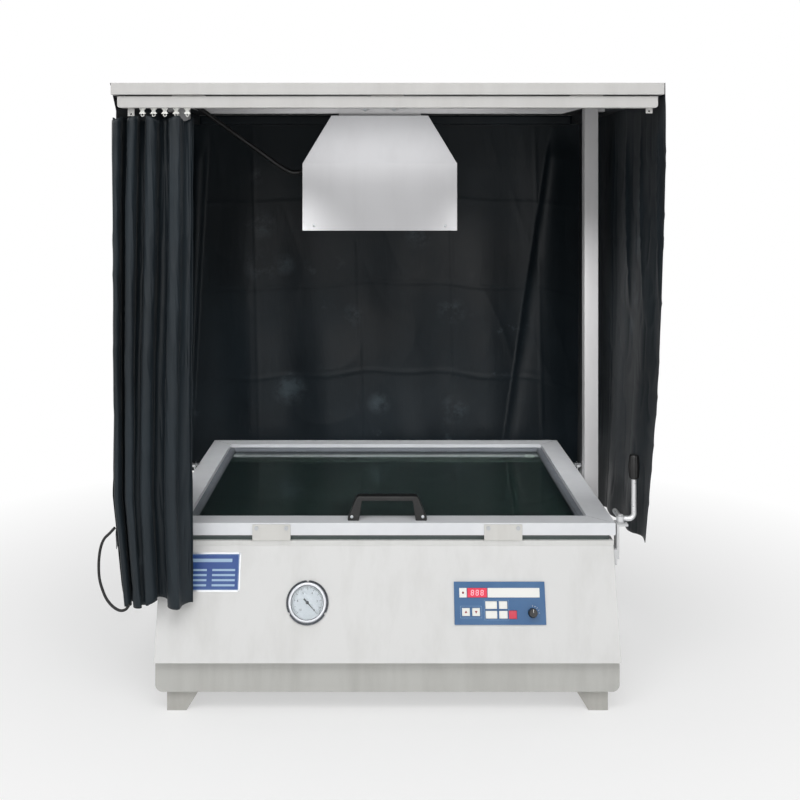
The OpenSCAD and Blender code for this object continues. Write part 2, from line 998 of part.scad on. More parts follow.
module gas_rod(side) {
    color("#B8BABD")
        translate([side * strut_x, stud_y, stud_z])
            rotate([strut_a + 180, 0, 0]) {
                strut_eye();
                translate([0, 0, gas_tube_start - cut])
                    cylinder(r = gas_rod_r, h = gas_rod_l - gas_tube_start + cut);
                translate([0, 0, gas_rod_l - 8])
                    cylinder(r = gas_bore_r - gas_clear, h = 8);
            }
}

module left_gas_rod() {
    gas_rod(-1);
}

module right_gas_rod() {
    gas_rod(1);
}

// A bent rod that turns on its bracket: a finger over the frame and an upright leg with a grip
module right_clamp_lever() {
    bend_r = 12;
    color("#CFD1D3")
        translate([lever_x, lever_y, lever_z]) {
            difference() {
                union() {
                    translate([0, 0, -lever_r])
                        cylinder(r = lever_boss_r, h = 2 * lever_r);
                    rotate([-90, 0, 0])
                        cylinder(r = lever_r, h = finger_l);
                    translate([0, finger_l, 0])
                        sphere(lever_r);
                    rod_x(lever_r, lever_out - bend_r);
                    translate([lever_out - bend_r, 0, 0])
                        bend(lever_r, bend_r);
                    translate([lever_out, 0, bend_r])
                        cylinder(r = lever_r, h = lever_up - bend_r + grip_l - 6);
                }
                translate([0, 0, -2 * lever_r])
                    cylinder(r = stud_r + run, h = 4 * lever_r);
            }
        }
    color("#141414")
        translate([lever_x + lever_out, lever_y, lever_z + lever_up])
            difference() {
                union() {
                    cylinder(r1 = grip_r - 2.5, r2 = grip_r, h = 8);
                    translate([0, 0, 8])
                        cylinder(r = grip_r, h = grip_l - 14);
                    translate([0, 0, grip_l - 6])
                        cylinder(r1 = grip_r, r2 = grip_r - 5, h = 6);
                }
                translate([0, 0, -cut])
                    cylinder(r = lever_r + run, h = grip_l - 5 + cut);
            }
}

module left_clamp_lever() {
    mirror([1, 0, 0])
        right_clamp_lever();
}

// Gantry, top frame and track

module gantry_post() {
    h = beam_top_z - post_foot_z;
    translate([post_x, 0, post_foot_z])
        difference() {
            block([post_side, post_side, h]);
            translate([0, 0, -cut])
                block([post_side - 2 * post_wall, post_side - 2 * post_wall, h - post_wall + cut]);
        }
    for (z = [post_foot_z + 10, panel_z - 60])
        translate([body_w / 2 + post_gap / 2, 0, z])
            block([post_gap, post_side + 24, 44]);
    translate([(post_x + post_side / 2 + top_w / 2 - top_tube) / 2, 0, rail_under_z])
        block([top_w / 2 - top_tube - post_x - post_side / 2, top_tube, top_tube]);
}

module beam_outline(inset) {
    half = beam_l / 2;
    polygon([
        [-half, beam_z + beam_rise + inset], [-half + beam_taper, beam_z + inset],
        [half - beam_taper, beam_z + inset], [half, beam_z + beam_rise + inset],
        [half, beam_top_z - inset], [-half, beam_top_z - inset]
    ]);
}

module lamp_gantry() {
    color("#D4D6D8") {
        difference() {
            both_sides()
                gantry_post();
            translate([-post_x, -post_side / 2, cable_hole_z])
                rod_y(cable_r + 1, 4 * post_wall);
        }
        difference() {
            along_y(beam_t)
                beam_outline(0);
            along_y(beam_t - 2 * post_wall)
                beam_outline(post_wall);
        }
    }
}

module top_frame() {
    inner = top_tube - 2 * post_wall;
    color("#D6D7D6")
        translate([0, 0, rail_under_z])
            difference() {
                block([top_w, top_d, top_tube]);
                translate([0, 0, -cut])
                    block([top_w - 2 * top_tube, top_d - 2 * top_tube, top_tube + 2 * cut]);
                for (side = [-1, 1]) {
                    translate([0, side * (top_d - top_tube) / 2, post_wall])
                        block([top_w + 2 * cut, inner, inner]);
                    translate([side * (top_w - top_tube) / 2, 0, post_wall])
                        block([inner, top_d - top_tube, inner]);
                }
            }
}

// Open-bottomed channel with rounded lower corners at its ends
module curtain_track() {
    inner = track_w - 2 * track_wall;
    color("#DADBD9")
        translate([0, track_y, track_z]) {
            difference() {
                along_y(track_w)
                    band_outline(track_l, track_h, track_r);
                translate([0, 0, track_wall])
                    block([track_l - 2 * cap_t, inner, track_h - 2 * track_wall]);
                translate([0, 0, -cut])
                    block([track_l - 2 * (track_r + cap_t), track_slot, track_wall + 2 * cut]);
            }
            for (x = [-1, 0, 1] * (track_l / 2 - 150))
                translate([x, 0, track_h - cut])
                    block([70, 12, track_gap + cut]);
        }
    color("#F4F4F2") {
        translate([glider_first_x, track_y, 0])
            glider(hook_h);
        translate([stop_x, track_y, 0])
            glider(hook_h - 6);
    }
}

// A slider in the track with an eye for the curtain's hook
module glider(h) {
    color("#F4F4F2")
        difference() {
            union() {
                translate([0, 0, track_z + track_wall + seat])
                    block([glider_w - 2, track_w - 2 * track_wall - 2, 7]);
                translate([0, 0, track_z - 3])
                    block([glider_w - 6, track_slot - 1.4, track_wall + 4]);
                translate([0, 0, track_z - seat - h])
                    block([glider_w, 5, h]);
            }
            translate([0, 0, track_z - h + 4])
                rod_y(2, 12);
        }
}

module glider_at(number) {
    translate([glider_first_x + number * glider_pitch, track_y, 0])
        glider(hook_h);
}

// Lamp

module lamp_bracket() {
    inner = beam_t;
    side_h = bracket_up + hood_drop;
    color("#C9CBCD")
        translate([hood_x, 0, hood_top_z])
            difference() {
                block([bracket_l, inner + 2 * bracket_wall, side_h]);
                translate([0, 0, bracket_wall])
                    block([bracket_l + 2 * cut, inner, side_h]);
                for (side = [-1, 1])
                    translate([side * slot_x, 0, side_h - 8]) {
                        translate([-7, 0, 0])
                            rod_y(3.5, inner + 4 * bracket_wall);
                        translate([7, 0, 0])
                            rod_y(3.5, inner + 4 * bracket_wall);
                        translate([-7, -inner / 2 - 2 * bracket_wall, -3.5])
                            cube([14, inner + 4 * bracket_wall, 7]);
                    }
            }
    color("#9A9CA0")
        for (side = [-1, 1], face = [-1, 1])
            translate([side * slot_x, face * (inner / 2 + bracket_wall + 2), hood_top_z + side_h - 8])
                rod_y(6.5, 4);
}

// The hood's outer or inner solid: a box with a sloped roof
module hood_solid(inset, low) {
    intersection() {
        along_y(hood_d)
            polygon([
                [-hood_w / 2 + inset, low], [-hood_w / 2 + inset, hood_wall_h],
                [-hood_top_w / 2 + inset, hood_h - inset], [hood_top_w / 2 - inset, hood_h - inset],
                [hood_w / 2 - inset, hood_wall_h], [hood_w / 2 - inset, low]
            ]);
        along_x(hood_w)
            polygon([
                [-hood_d / 2 + inset, low], [-hood_d / 2 + inset, hood_wall_h],
                [-hood_top_d / 2 + inset, hood_h - inset], [hood_top_d / 2 - inset, hood_h - inset],
                [hood_d / 2 - inset, hood_wall_h], [hood_d / 2 - inset, low]
            ]);
    }
}

module lamp_hood() {
    color("#EDEEEE")
        translate([hood_x, 0, hood_z])
            difference() {
                hood_solid(0, 0);
                hood_solid(hood_sheet, -cut);
                translate([-hood_w / 2 - cut, 0, gland_z - hood_z])
                    rod_x(gland_r + run, hood_sheet + 2 * cut);
            }
}

module lamp_reflector() {
    color("#D9DDE0")
        translate([hood_x, 0, hood_z])
            intersection() {
                translate([0, 0, reflector_z - hood_z])
                    along_x(hood_w)
                        difference() {
                            circle(reflector_r, $fn = 96);
                            circle(reflector_r - reflector_t, $fn = 96);
                            translate([-reflector_r - cut, -reflector_r - cut])
                                square([2 * reflector_r + 2 * cut, reflector_r + cut]);
                        }
                hood_solid(hood_sheet + seat, 0);
            }
}

module lamp_tube() {
    seal_l = 8;
    color("#F5F3E6")
        translate([hood_x - lamp_l / 2, 0, lamp_z])
            rotate([0, 90, 0])
                rotate_extrude()
                    polygon([
                        [0, 0], [lamp_r - 5, 0], [lamp_r - 5, seal_l], [lamp_r, seal_l + 8],
                        [lamp_r, lamp_l - seal_l - 8], [lamp_r - 5, lamp_l - seal_l],
                        [lamp_r - 5, lamp_l], [0, lamp_l]
                    ]);
}

module lamp_sockets() {
    leg_top = reflector_z + reflector_r - reflector_t - seat;
    color("#E4DFD3")
        for (side = [-1, 1])
            translate([hood_x + side * (lamp_l + socket_l) / 2, 0, 0]) {
                translate([0, 0, lamp_z - socket_side / 2])
                    block([socket_l, socket_side, socket_side]);
                translate([0, 0, lamp_z])
                    block([4, 16, leg_top - lamp_z - 0.3]);
            }
}

module lamp_gland() {
    color("#1A1A1A")
        translate([hood_x - hood_w / 2, 0, gland_z])
            rotate([0, -90, 0]) {
                translate([0, 0, -hood_sheet - 3])
                    cylinder(r = gland_r, h = hood_sheet + 3 + cut);
                cylinder(r = gland_nut_r, h = gland_nut_l, $fn = 6);
                translate([0, 0, gland_nut_l])
                    cylinder(r1 = gland_nut_r - 2, r2 = cable_r + 1.5, h = gland_dome_l);
            }
}

module lamp_cable() {
    color("#121212")
        swept_tube(cable_points, cable_r, 10, 3);
}

// Gauge and controls

gauge_flange_r = gauge_r + 8;
gauge_flange_t = 3;
gauge_ring_h = 9;
gauge_dial_r = gauge_r - 3;
gauge_arbor_r = 1;

module gauge_case() {
    depth = 34;
    color("#D4D6D8")
        on_slope(gauge_x, gauge_down)
            difference() {
                union() {
                    translate([0, 0, -depth])
                        cylinder(r = gauge_r, h = depth + cut);
                    cylinder(r = gauge_flange_r, h = gauge_flange_t);
                    cylinder(r = gauge_dial_r + 4, h = gauge_ring_h);
                }
                difference() {
                    translate([0, 0, gauge_flange_t + 0.5])
                        cylinder(r = gauge_dial_r, h = gauge_ring_h);
                    cylinder(r = gauge_arbor_r, h = gauge_ring_h - 2.2);
                }
                for (k = [0 : 2])
                    rotate([0, 0, 90 + 120 * k])
                        translate([gauge_flange_r, 0, -seat])
                            cylinder(r = 3, h = gauge_flange_t + 1);
            }
}

// Needle at its zero, low on the right, turning counterclockwise as the vacuum rises
module gauge_needle() {
    zero_a = -46;
    color("#D8D8D8")
        on_slope(gauge_x, gauge_down)
            translate([0, 0, gauge_flange_t + 1.6])
                rotate([0, 0, zero_a])
                    difference() {
                        union() {
                            cylinder(r = 3.4, h = 1.2);
                            linear_extrude(0.8)
                                polygon([[-11, -1.8], [0, -1.4], [26, -0.5], [28, 0], [26, 0.5], [0, 1.4], [-11, 1.8]]);
                        }
                        translate([0, 0, -cut])
                            cylinder(r = gauge_arbor_r + run, h = 4);
                    }
}

module gauge_lens() {
    color("#DCE6E6", 0.35)
        on_slope(gauge_x, gauge_down)
            translate([0, 0, gauge_ring_h - 1.9])
                cylinder(r = gauge_dial_r - 0.1, h = 1.6);
}

module on_plate(at) {
    on_slope(plate_x, plate_down)
        translate([at[0], at[1], 0])
            children();
}

module control_plate() {
    color("#2F6CA6")
        difference() {
            on_plate([0, 0])
                block([plate_w, plate_h, plate_t]);
            for (k = keys)
                on_plate(k)
                    translate([0, 0, -cut])
                        block([k[2] + 2 * key_gap, k[3] + 2 * key_gap, plate_t + 2 * cut]);
            on_plate(display_at)
                translate([0, 0, -cut])
                    block([display_size[0] + 2 * key_gap, display_size[1] + 2 * key_gap, plate_t + 2 * cut]);
            on_plate(knob_at)
                translate([0, 0, -cut])
                    cylinder(r = knob_shaft_r + run, h = plate_t + 2 * cut);
        }
}

// Circuit board on pillars behind the plate, with its display, key switches and the knob's socket
module timer_board() {
    board_w = plate_w - 2 * board_side - 6;
    board_h = plate_h - 2 * board_side - 4;
    switch_top = -seat - key_flange_t - key_travel - run;
    pillar = 2.5;
    color("#1E5B3A") {
        on_plate([0, 0])
            translate([0, 0, -board_back - board_t])
                block([board_w, board_h, board_t]);
        for (x = [-1, 1], y = [-1, 1])
            on_plate([x * (board_w / 2 - pillar - 0.5), y * (board_h / 2 - pillar - 0.5)])
                translate([0, 0, -board_back])
                    cylinder(r = pillar, h = board_back);
        for (k = keys)
            on_plate(k)
                translate([0, 0, -board_back])
                    block([6, 6, board_back + switch_top]);
        on_plate(display_at)
            translate([0, 0, -board_back])
                block([display_size[0], display_size[1], board_back + plate_t - 0.5]);
        on_plate(knob_at)
            translate([0, 0, -board_back])
                difference() {
                    cylinder(r = 8, h = 9);
                    translate([0, 0, 2])
                        cylinder(r = knob_shaft_r + run, h = 9);
                }
    }
}

// A key cap through the plate, with a flange behind that keeps it in
module key(k) {
    on_plate(k) {
        translate([0, 0, -seat - key_flange_t])
            block([k[2], k[3], seat + key_flange_t + plate_t + key_rise]);
        translate([0, 0, -seat - key_flange_t])
            block([k[2] + 2 * key_flange, k[3] + 2 * key_flange, key_flange_t]);
    }
}

module arrow_up_key() {
    color("#F0F0EC")
        key(keys[0]);
}

module arrow_down_key() {
    color("#F0F0EC")
        key(keys[1]);
}

module program_key() {
    color("#F0F0EC")
        key(keys[2]);
}

module light_key() {
    color("#F0F0EC")
        key(keys[3]);
}

module vacuum_key() {
    color("#F0F0EC")
        key(keys[4]);
}

module timer_key() {
    color("#F0F0EC")
        key(keys[5]);
}

module start_key() {
    color("#D8455A")
        key(keys[6]);
}

module selector_knob() {
    color("#151517")
        on_plate(knob_at)
            difference() {
                union() {
                    translate([0, 0, -board_back + 2 + seat])
                        cylinder(r = knob_shaft_r, h = board_back + plate_t);
                    translate([0, 0, plate_t + seat])
                        cylinder(r1 = knob_r, r2 = knob_r - 1.5, h = knob_h);
                }
                translate([-0.8, 3, plate_t + seat + knob_h - 1])
                    cube([1.6, knob_r, 2 * cut]);
            }
}

// Inside the cabinet

// Vacuum pump: motor and pump head on one axis along X, on two saddles
module vacuum_pump() {
    shaft_r = 8;
    left = pump_x - pump_l / 2;
    color("#4A5A66")
        difference() {
            union() {
                translate([left, pump_y, pump_z])
                    rod_x(pump_r, pump_l);
                translate([left + pump_l, pump_y, pump_z])
                    rod_x(pump_r - 12, pump_head_l);
                translate([pump_port_x, pump_y, pump_z])
                    cylinder(r = pump_port_r, h = pump_port_z - pump_z);
                for (x = [pump_x - 50, pump_x + 50])
                    translate([x, pump_y, pump_floor_z])
                        block([26, 96, pump_z - pump_floor_z - pump_r + 12]);
                translate([pump_x, pump_y, pump_z + pump_r - 4])
                    block([90, 50, 22]);
            }
            translate([left - cut, pump_y, pump_z])
                rod_x(shaft_r + run, 60);
        }
}

// Cooling fan on the motor's shaft
module pump_fan() {
    left = pump_x - pump_l / 2;
    blades = 6;
    color("#D0D2D0")
        translate([left - 34, pump_y, pump_z]) {
            rod_x(8, 90);
            rod_x(18, 26);
            for (k = [0 : blades - 1])
                rotate([360 * k / blades, 0, 0])
                    translate([0, 12, -1.5])
                        cube([26, 42, 3]);
        }
}

module vacuum_hose() {
    color("#2B2B2B")
        swept_tube(hose_points, hose_r, 12, 3);
}

// Lamp ballast: a laminated core with its winding, on mounting feet
module lamp_ballast() {
    core = [ballast_w, ballast_d, ballast_h];
    color("#6E6A62")
        translate([ballast_x, ballast_y, pump_floor_z]) {
            difference() {
                translate([0, 0, 4])
                    block(core);
                for (side = [-1, 1])
                    translate([side * 42, 0, 24])
                        block([30, core[1] + 2 * cut, 50]);
            }
            translate([0, 0, 24.4])
                difference() {
                    block([106, core[1] + 44, 49]);
                    translate([0, 0, -cut])
                        block([55, core[1] + 0.8, 52]);
                }
            for (side = [-1, 1])
                translate([side * (core[0] / 2 - 12), 0, 0])
                    block([44, core[1], 4]);
        }
}

// Curtains

// Front curtain, gathered at the left: a pleated line in plan that settles towards the hem
gather_w = 172;
gather_x = -top_w / 2 - 5;
gather_folds = 4.25;
gather_columns = 57;
gather_rows = 9;
curtain_top_z = track_z - hook_h - 2 * seat;

// Its pleats are uneven, and lean to the left on their way down
function gather_wave(u, v) =
    64 + 360 * gather_folds * u + (100 + 150 * min(1, 2 * v)) * sin(180 * u) + 24 * sin(300 * v + 260 * u);

function gather_depth(u, v) =
    (22 - 11 * v + 4 * sin(230 * u + 150 * v)) * sin(gather_wave(u, v)) + 13 * v * sin(760 * u);

function gather_left(v) = gather_x + (v < 0.78 ? 4 * sin(180 * v) : 2.5 + 110 * (v - 0.78));

function gather_wrap(u) = 8 * pow(max(0, 1 - 14 * u), 2);

function gather_point(u, v) = [
    gather_left(v) + (gather_w - (gather_left(v) - gather_x)) * u * (1 - 0.05 * sin(180 * v))
    + 5 * sin(2 * gather_wave(u, v)),
    track_y + 4 + gather_depth(u, v) + gather_wrap(u),
    curtain_top_z - v * (curtain_top_z - front_hem_z - 14 * pow(abs(cos(360 * u)), 4))
];

function gather_across(u, v) =
    let (step = 0.001, d = gather_point(u + step, v) - gather_point(u - step, v))
        unit([-d[1], d[0], 0]);

module front_curtain() {
    grid = [for (i = [0 : gather_columns - 1]) [for (j = [0 : gather_rows - 1])
        [i / (gather_columns - 1), j / (gather_rows - 1)]]];
    color("#2A3038")
        cloth(
            [for (one = grid) [for (p = one) gather_point(p[0], p[1]) - cloth_t / 2 * gather_across(p[0], p[1])]],
            [for (one = grid) [for (p = one) gather_point(p[0], p[1]) + cloth_t / 2 * gather_across(p[0], p[1])]]
        );
}

// Side curtain: hangs outside the rail in slow folds and leans in towards its front lower corner
side_columns = 31;
side_rows = [0, 0.055, 0.15, 0.3, 0.45, 0.6, 0.74, 0.87, 1];
side_hem_z = 346;
side_drop = 44;
side_tuck = 58;

function side_fold(u, v) =
    (2 + 2.5 * v) * (1 + sin(360 * 4.5 * u + 40 * sin(200 * v + 90 * u))) * min(1, 6 * v);

function side_front(v, tucked) = tucked ? side_tuck * min(1, v / side_rows[1]) : 100 * pow(v, 2);

function side_point(u, v, lean, tucked) = [
    top_w / 2 + seat + side_fold(u, v) - lean * pow(v, 1.4) * (1 - 0.35 * u),
    -top_d / 2 + 1 + side_front(v, tucked) * (1 - u) + u * (top_d - 2),
    top_z - v * (top_z - side_hem_z + side_drop * min(1, 2.4 * u) - 3 * sin(360 * 4.5 * u))
];

module side_curtain(lean, tucked) {
    grid = [for (i = [0 : side_columns - 1]) [for (v = side_rows)
        side_point(i / (side_columns - 1), v, lean, tucked)]];
    cloth([for (one = grid) [for (p = one) p + [cloth_t, 0, 0]]], grid);
}

module side_curtains() {
    color("#2A3038") {
        side_curtain(22, false);
        mirror([1, 0, 0])
            side_curtain(4, true);
    }
}

// Rear curtain: slow folds between the corners
rear_gap = 0.8;
rear_columns = 41;
rear_rows = 9;

function rear_fold(u, v) =
    (1 + 7 * v) * (sin(360 * 5 * u + 30 * sin(220 * v + 60 * u)) - 1) * rear_calm(u) * min(1, 6 * v);

// The folds die out towards the corners
function rear_calm(u) = min(1, max(0, 9 * u - 0.4), max(0, 8.6 - 9 * u));

function rear_point(u, v) = [
    (u - 0.5) * (top_w + 12 - 12 * v),
    top_d / 2 + rear_gap + rear_fold(u, v),
    top_z - v * (top_z - rear_hem_z - 5 * sin(360 * 5 * u))
];

module rear_curtain() {
    grid = [for (i = [0 : rear_columns - 1]) [for (j = [0 : rear_rows - 1])
        rear_point(i / (rear_columns - 1), j / (rear_rows - 1))]];
    color("#2A3038")
        cloth(grid, [for (one = grid) [for (p = one) p + [0, cloth_t, 0]]]);
}

// Cloth over the top frame, held up by the beam in the middle
cover_columns = 21;
cover_rows = 25;

function cover_height(x, y) =
    let (
        edge = min(1, max(0, (top_d / 2 - 46 - abs(y)) / 160)),
        side = min(1, max(0, (top_w / 2 - 64 - abs(x)) / 100)),
        near = min(1, 60 / max(1, abs(y)))
    )
    (beam_top_z - top_z) * near * edge - 4 * sin(180 * edge) * side * (1 - near);

module top_cover() {
    margin = 2;
    front_margin = 20;
    grid = [for (i = [0 : cover_columns - 1]) [for (j = [0 : cover_rows - 1])
        let (
            x = (i / (cover_columns - 1) - 0.5) * (top_w - 2 * margin),
            y = -top_d / 2 + front_margin + j / (cover_rows - 1) * (top_d - front_margin - margin)
        )
        [x, y, top_z + seat + cover_height(x, y)]]];
    color("#23272D")
        cloth([for (one = grid) [for (p = one) p + [0, 0, cloth_t]]], grid);
}

cabinet_shell();
rear_panel();
power_inlet();
base_tray();
deck();
feet();
rubber_blanket();
vacuum_nozzle();
glass_frame_rails();
glazing_beads();
glass_pane();
lift_handle();
catch_plates();
frame_fasteners();
frame_hinge_leaves();
base_hinge_leaves();
hinge_pins();
side_brackets();
left_gas_cylinder();
right_gas_cylinder();
left_gas_rod();
right_gas_rod();
left_clamp_lever();
right_clamp_lever();
lamp_gantry();
top_frame();
curtain_track();
glider_at(1);  // glider_1
glider_at(2);  // glider_2
glider_at(3);  // glider_3
glider_at(4);  // glider_4
glider_at(5);  // glider_5
lamp_bracket();
lamp_hood();
lamp_reflector();
lamp_tube();
lamp_sockets();
lamp_gland();
lamp_cable();
gauge_case();
gauge_needle();
gauge_lens();
control_plate();
timer_board();
arrow_up_key();
arrow_down_key();
program_key();
light_key();
vacuum_key();
timer_key();
start_key();
selector_knob();
vacuum_pump();
pump_fan();
vacuum_hose();
lamp_ballast();
front_curtain();
side_curtains();
rear_curtain();
top_cover();
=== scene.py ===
"""Looks of the curtained exposure unit, built round its packed model. Metres, in the model's own frame."""

import json
import math

import bmesh
import bpy
import numpy as np
from mathutils import Matrix, Vector


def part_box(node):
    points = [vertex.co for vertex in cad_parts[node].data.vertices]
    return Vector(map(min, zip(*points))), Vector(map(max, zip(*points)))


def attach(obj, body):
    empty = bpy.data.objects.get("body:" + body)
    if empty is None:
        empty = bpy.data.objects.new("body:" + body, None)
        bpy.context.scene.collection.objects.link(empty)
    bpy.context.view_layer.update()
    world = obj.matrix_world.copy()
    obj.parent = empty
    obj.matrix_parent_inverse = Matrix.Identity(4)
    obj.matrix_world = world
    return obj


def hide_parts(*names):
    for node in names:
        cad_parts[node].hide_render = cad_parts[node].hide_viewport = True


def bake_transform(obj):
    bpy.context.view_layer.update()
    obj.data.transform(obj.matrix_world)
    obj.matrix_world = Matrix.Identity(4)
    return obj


bl_info = {
    "name": "Curtained Exposure Unit",
    "version": (1, 0, 0),
    "blender": (4, 5, 0),
    "location": "3D View > Sidebar > Exposure Unit",
    "description": "Dresses the exposure unit's frame with its cloth, sheet metal, glass and controls",
    "category": "Object",
}

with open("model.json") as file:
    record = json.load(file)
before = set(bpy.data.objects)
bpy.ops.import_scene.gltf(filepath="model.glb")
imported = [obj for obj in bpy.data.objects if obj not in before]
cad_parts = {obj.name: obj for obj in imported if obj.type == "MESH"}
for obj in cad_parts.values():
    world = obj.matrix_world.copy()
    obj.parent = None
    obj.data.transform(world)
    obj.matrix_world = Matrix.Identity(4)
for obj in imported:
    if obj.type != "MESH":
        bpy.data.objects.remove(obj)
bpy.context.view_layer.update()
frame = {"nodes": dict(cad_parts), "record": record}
MM = 0.001


def span(node):
    """The lowest and the highest corner of a CAD node."""
    return np.array(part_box(node)[0]), np.array(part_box(node)[1])


def low(node):
    """The lowest corner of a CAD node."""
    return span(node)[0]


def high(node):
    """The highest corner of a CAD node."""
    return span(node)[1]


# Places read off the frame
PANEL_TOP = high("cabinet_shell")[2]
PANEL_FOOT = low("cabinet_shell")
FRONT_Y = low("deck")[1]
SLOPE = math.atan2(FRONT_Y - PANEL_FOOT[1], PANEL_TOP - PANEL_FOOT[2])
UP_SLOPE = np.array([0, math.sin(SLOPE), math.cos(SLOPE)])
OUT_OF_SLOPE = np.array([0, -math.cos(SLOPE), math.sin(SLOPE)])
TOP_FRAME = span("top_frame")
TOP_W = TOP_FRAME[1][0] - TOP_FRAME[0][0]
TOP_D = TOP_FRAME[1][1] - TOP_FRAME[0][1]
TOP_Z = TOP_FRAME[1][2]
BEAM_TOP = high("lamp_gantry")[2]
TRACK = span("curtain_track")
TRACK_Y = (TRACK[0][1] + TRACK[1][1]) / 2
TRACK_Z = TOP_FRAME[0][2] - 27 * MM
HOOD_X = -17 * MM
LEVER_X = 518 * MM
CATCH_X, CATCH_SCREW = 256 * MM, 33 * MM
# Places on the sloped panel: across from the middle, and down from its upper edge
GAUGE = (-174 * MM, 118 * MM)
PLATE = (244 * MM, 119 * MM)
KNOB = (PLATE[0] + 70.5 * MM, PLATE[1] + 20 * MM)
NAMEPLATE = (-391 * MM, 55 * MM)
PLATE_T = 3 * MM
# The dial's scale: its zero and its sweep, counted from the right as the needle turns
DIAL_ZERO, DIAL_SWEEP = np.radians(-46), np.radians(270)
# The photograph's width and the camera's focal length, both in its pixels
PHOTO_PX, FOCAL_PX = 800, 1095
BODY_OF = {n: body for body, names in frame["record"]["behaviour"]["bodies"].items() for n in names}


# Number fields


def lattice(u, v, cells, seed):
    """Smooth random field from -1 to 1: random numbers on a lattice of cells, joined by cosine steps."""
    random = np.random.default_rng(seed).uniform(-1, 1, (cells[0] + 2, cells[1] + 2))
    x = np.clip(u, 0, 1) * cells[0]
    y = np.clip(v, 0, 1) * cells[1]
    i, j = x.astype(int), y.astype(int)
    fx, fy = (1 - np.cos(np.pi * (x - i))) / 2, (1 - np.cos(np.pi * (y - j))) / 2
    near = random[i, j] * (1 - fx) + random[i + 1, j] * fx
    far = random[i, j + 1] * (1 - fx) + random[i + 1, j + 1] * fx
    return near * (1 - fy) + far * fy


def ridges(u, v, cells, seed):
    """Sharp pulled creases from 0 to 1: one less the size of a random field, squared twice."""
    return (1 - np.abs(lattice(u, v, cells, seed))) ** 4


def fold_line(distance, width):
    """A pressed crease: 1 on the line, falling off as a bell of the given width."""
    return np.exp(-((distance / width) ** 2))


# Meshes


def quads(rows, columns, round_rows=False, round_columns=False):
    """Corner numbers of the faces between neighbours in a grid, closed round a direction if asked."""
    i = np.arange(rows if round_rows else rows - 1)[:, None]
    j = np.arange(columns if round_columns else columns - 1)[None, :]
    i2, j2 = (i + 1) % rows, (j + 1) % columns
    corners = [i * columns + j, i2 * columns + j, i2 * columns + j2, i * columns + j2]
    return np.stack([c + 0 * i + 0 * j for c in corners], -1).reshape(-1, 4)


def capped(rings, around):
    """Faces of a stack of rings: quads between neighbours, and one flat face over each end."""
    faces = quads(rings, around, round_columns=True).tolist()
    return faces + [list(range(around))[::-1], [(rings - 1) * around + k for k in range(around)]]


def linked(name, data):
    """A new object in the scene for a mesh, a lamp or a camera."""
    thing = bpy.data.objects.new(name, data)
    bpy.context.scene.collection.objects.link(thing)
    return thing


def shaded(mesh, material, sharp=None):
    """Smooth shading, broken at edges sharper than an angle in degrees, and the mesh's one material."""
    mesh.polygons.foreach_set("use_smooth", np.ones(len(mesh.polygons), bool))
    if sharp:
        mesh.set_sharp_from_angle(angle=math.radians(sharp))
    mesh.materials.clear()
    mesh.materials.append(material)


def piece(name, parts, material, body, replaces=()):
    """One object from (points, faces) parts. Doubles are merged, and closed parts have their faces turned outward."""
    points = np.concatenate([np.asarray(p, float).reshape(-1, 3) for p, _ in parts])
    faces, start = [], 0
    for p, f in parts:
        faces += [[int(k) + start for k in one] for one in f]
        start += np.asarray(p).reshape(-1, 3).shape[0]
    mesh = bpy.data.meshes.new(name)
    mesh.from_pydata(points.tolist(), [], faces)
    work = bmesh.new()
    work.from_mesh(mesh)
    bmesh.ops.remove_doubles(work, verts=work.verts, dist=2e-6)
    bmesh.ops.dissolve_degenerate(work, edges=work.edges, dist=1e-7)
    bmesh.ops.recalc_face_normals(work, faces=work.faces)
    work.to_mesh(mesh)
    work.free()
    shaded(mesh, material, 35)
    thing = linked(name, mesh)
    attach(thing, body)
    if replaces:
        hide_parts(*replaces)
    return thing


def softened(node, width, material, segments=2):
    """A copy of a CAD node with its doubles merged and its flat faces joined, whose edges a Bevel rounds."""
    source = frame["nodes"][node]
    work = bmesh.new()
    work.from_mesh(source.data)
    bmesh.ops.remove_doubles(work, verts=work.verts, dist=1e-5)
    bmesh.ops.dissolve_limit(
        work, angle_limit=math.radians(0.5), verts=work.verts, edges=work.edges, use_dissolve_boundaries=False
    )
    mesh = bpy.data.meshes.new(node + "_rounded")
    work.to_mesh(mesh)
    work.free()
    shaded(mesh, material, 30)
    thing = linked(mesh.name, mesh)
    bevel = thing.modifiers.new("Rounded edges", "BEVEL")
    bevel.width = width
    bevel.segments = segments
    bevel.limit_method = "ANGLE"
    bevel.angle_limit = math.radians(32)
    bevel.harden_normals = True
    bevel.use_clamp_overlap = True
    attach(thing, BODY_OF[node])
    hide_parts(node)


def painted(material, *nodes):
    """Gives CAD nodes that are shown as they are a material."""
    for name in nodes:
        thing = frame["nodes"][name]
        thing.data.materials.clear()
        thing.data.materials.append(material)


def turned(profile, segments=64):
    """A surface of revolution: the profile's (radius, height) points, in millimetres, carried round local Z."""
    profile = np.asarray(profile, float) * MM
    a = np.linspace(0, 2 * np.pi, segments, endpoint=False)
    radius, height = profile.T
    around = np.cos(a)[:, None], np.sin(a)[:, None]
    ring = np.stack([radius * around[0], radius * around[1], height + 0 * a[:, None]], -1)
    return ring, quads(segments, len(profile), round_rows=True)


def rounded_outline(w, h, r, steps=6):
    """A rectangle's outline with quarter circles of radius r at its corners, counterclockwise."""
    a = np.linspace(0, np.pi / 2, steps)
    x, y = w / 2 - r, h / 2 - r
    centres = np.array([[x, y], [-x, y], [-x, -y], [x, -y]])
    turns = np.arange(4) * np.pi / 2
    angle = turns[:, None] + a[None, :]
    return (centres[:, None, :] + r * np.stack([np.cos(angle), np.sin(angle)], -1)).reshape(-1, 2)


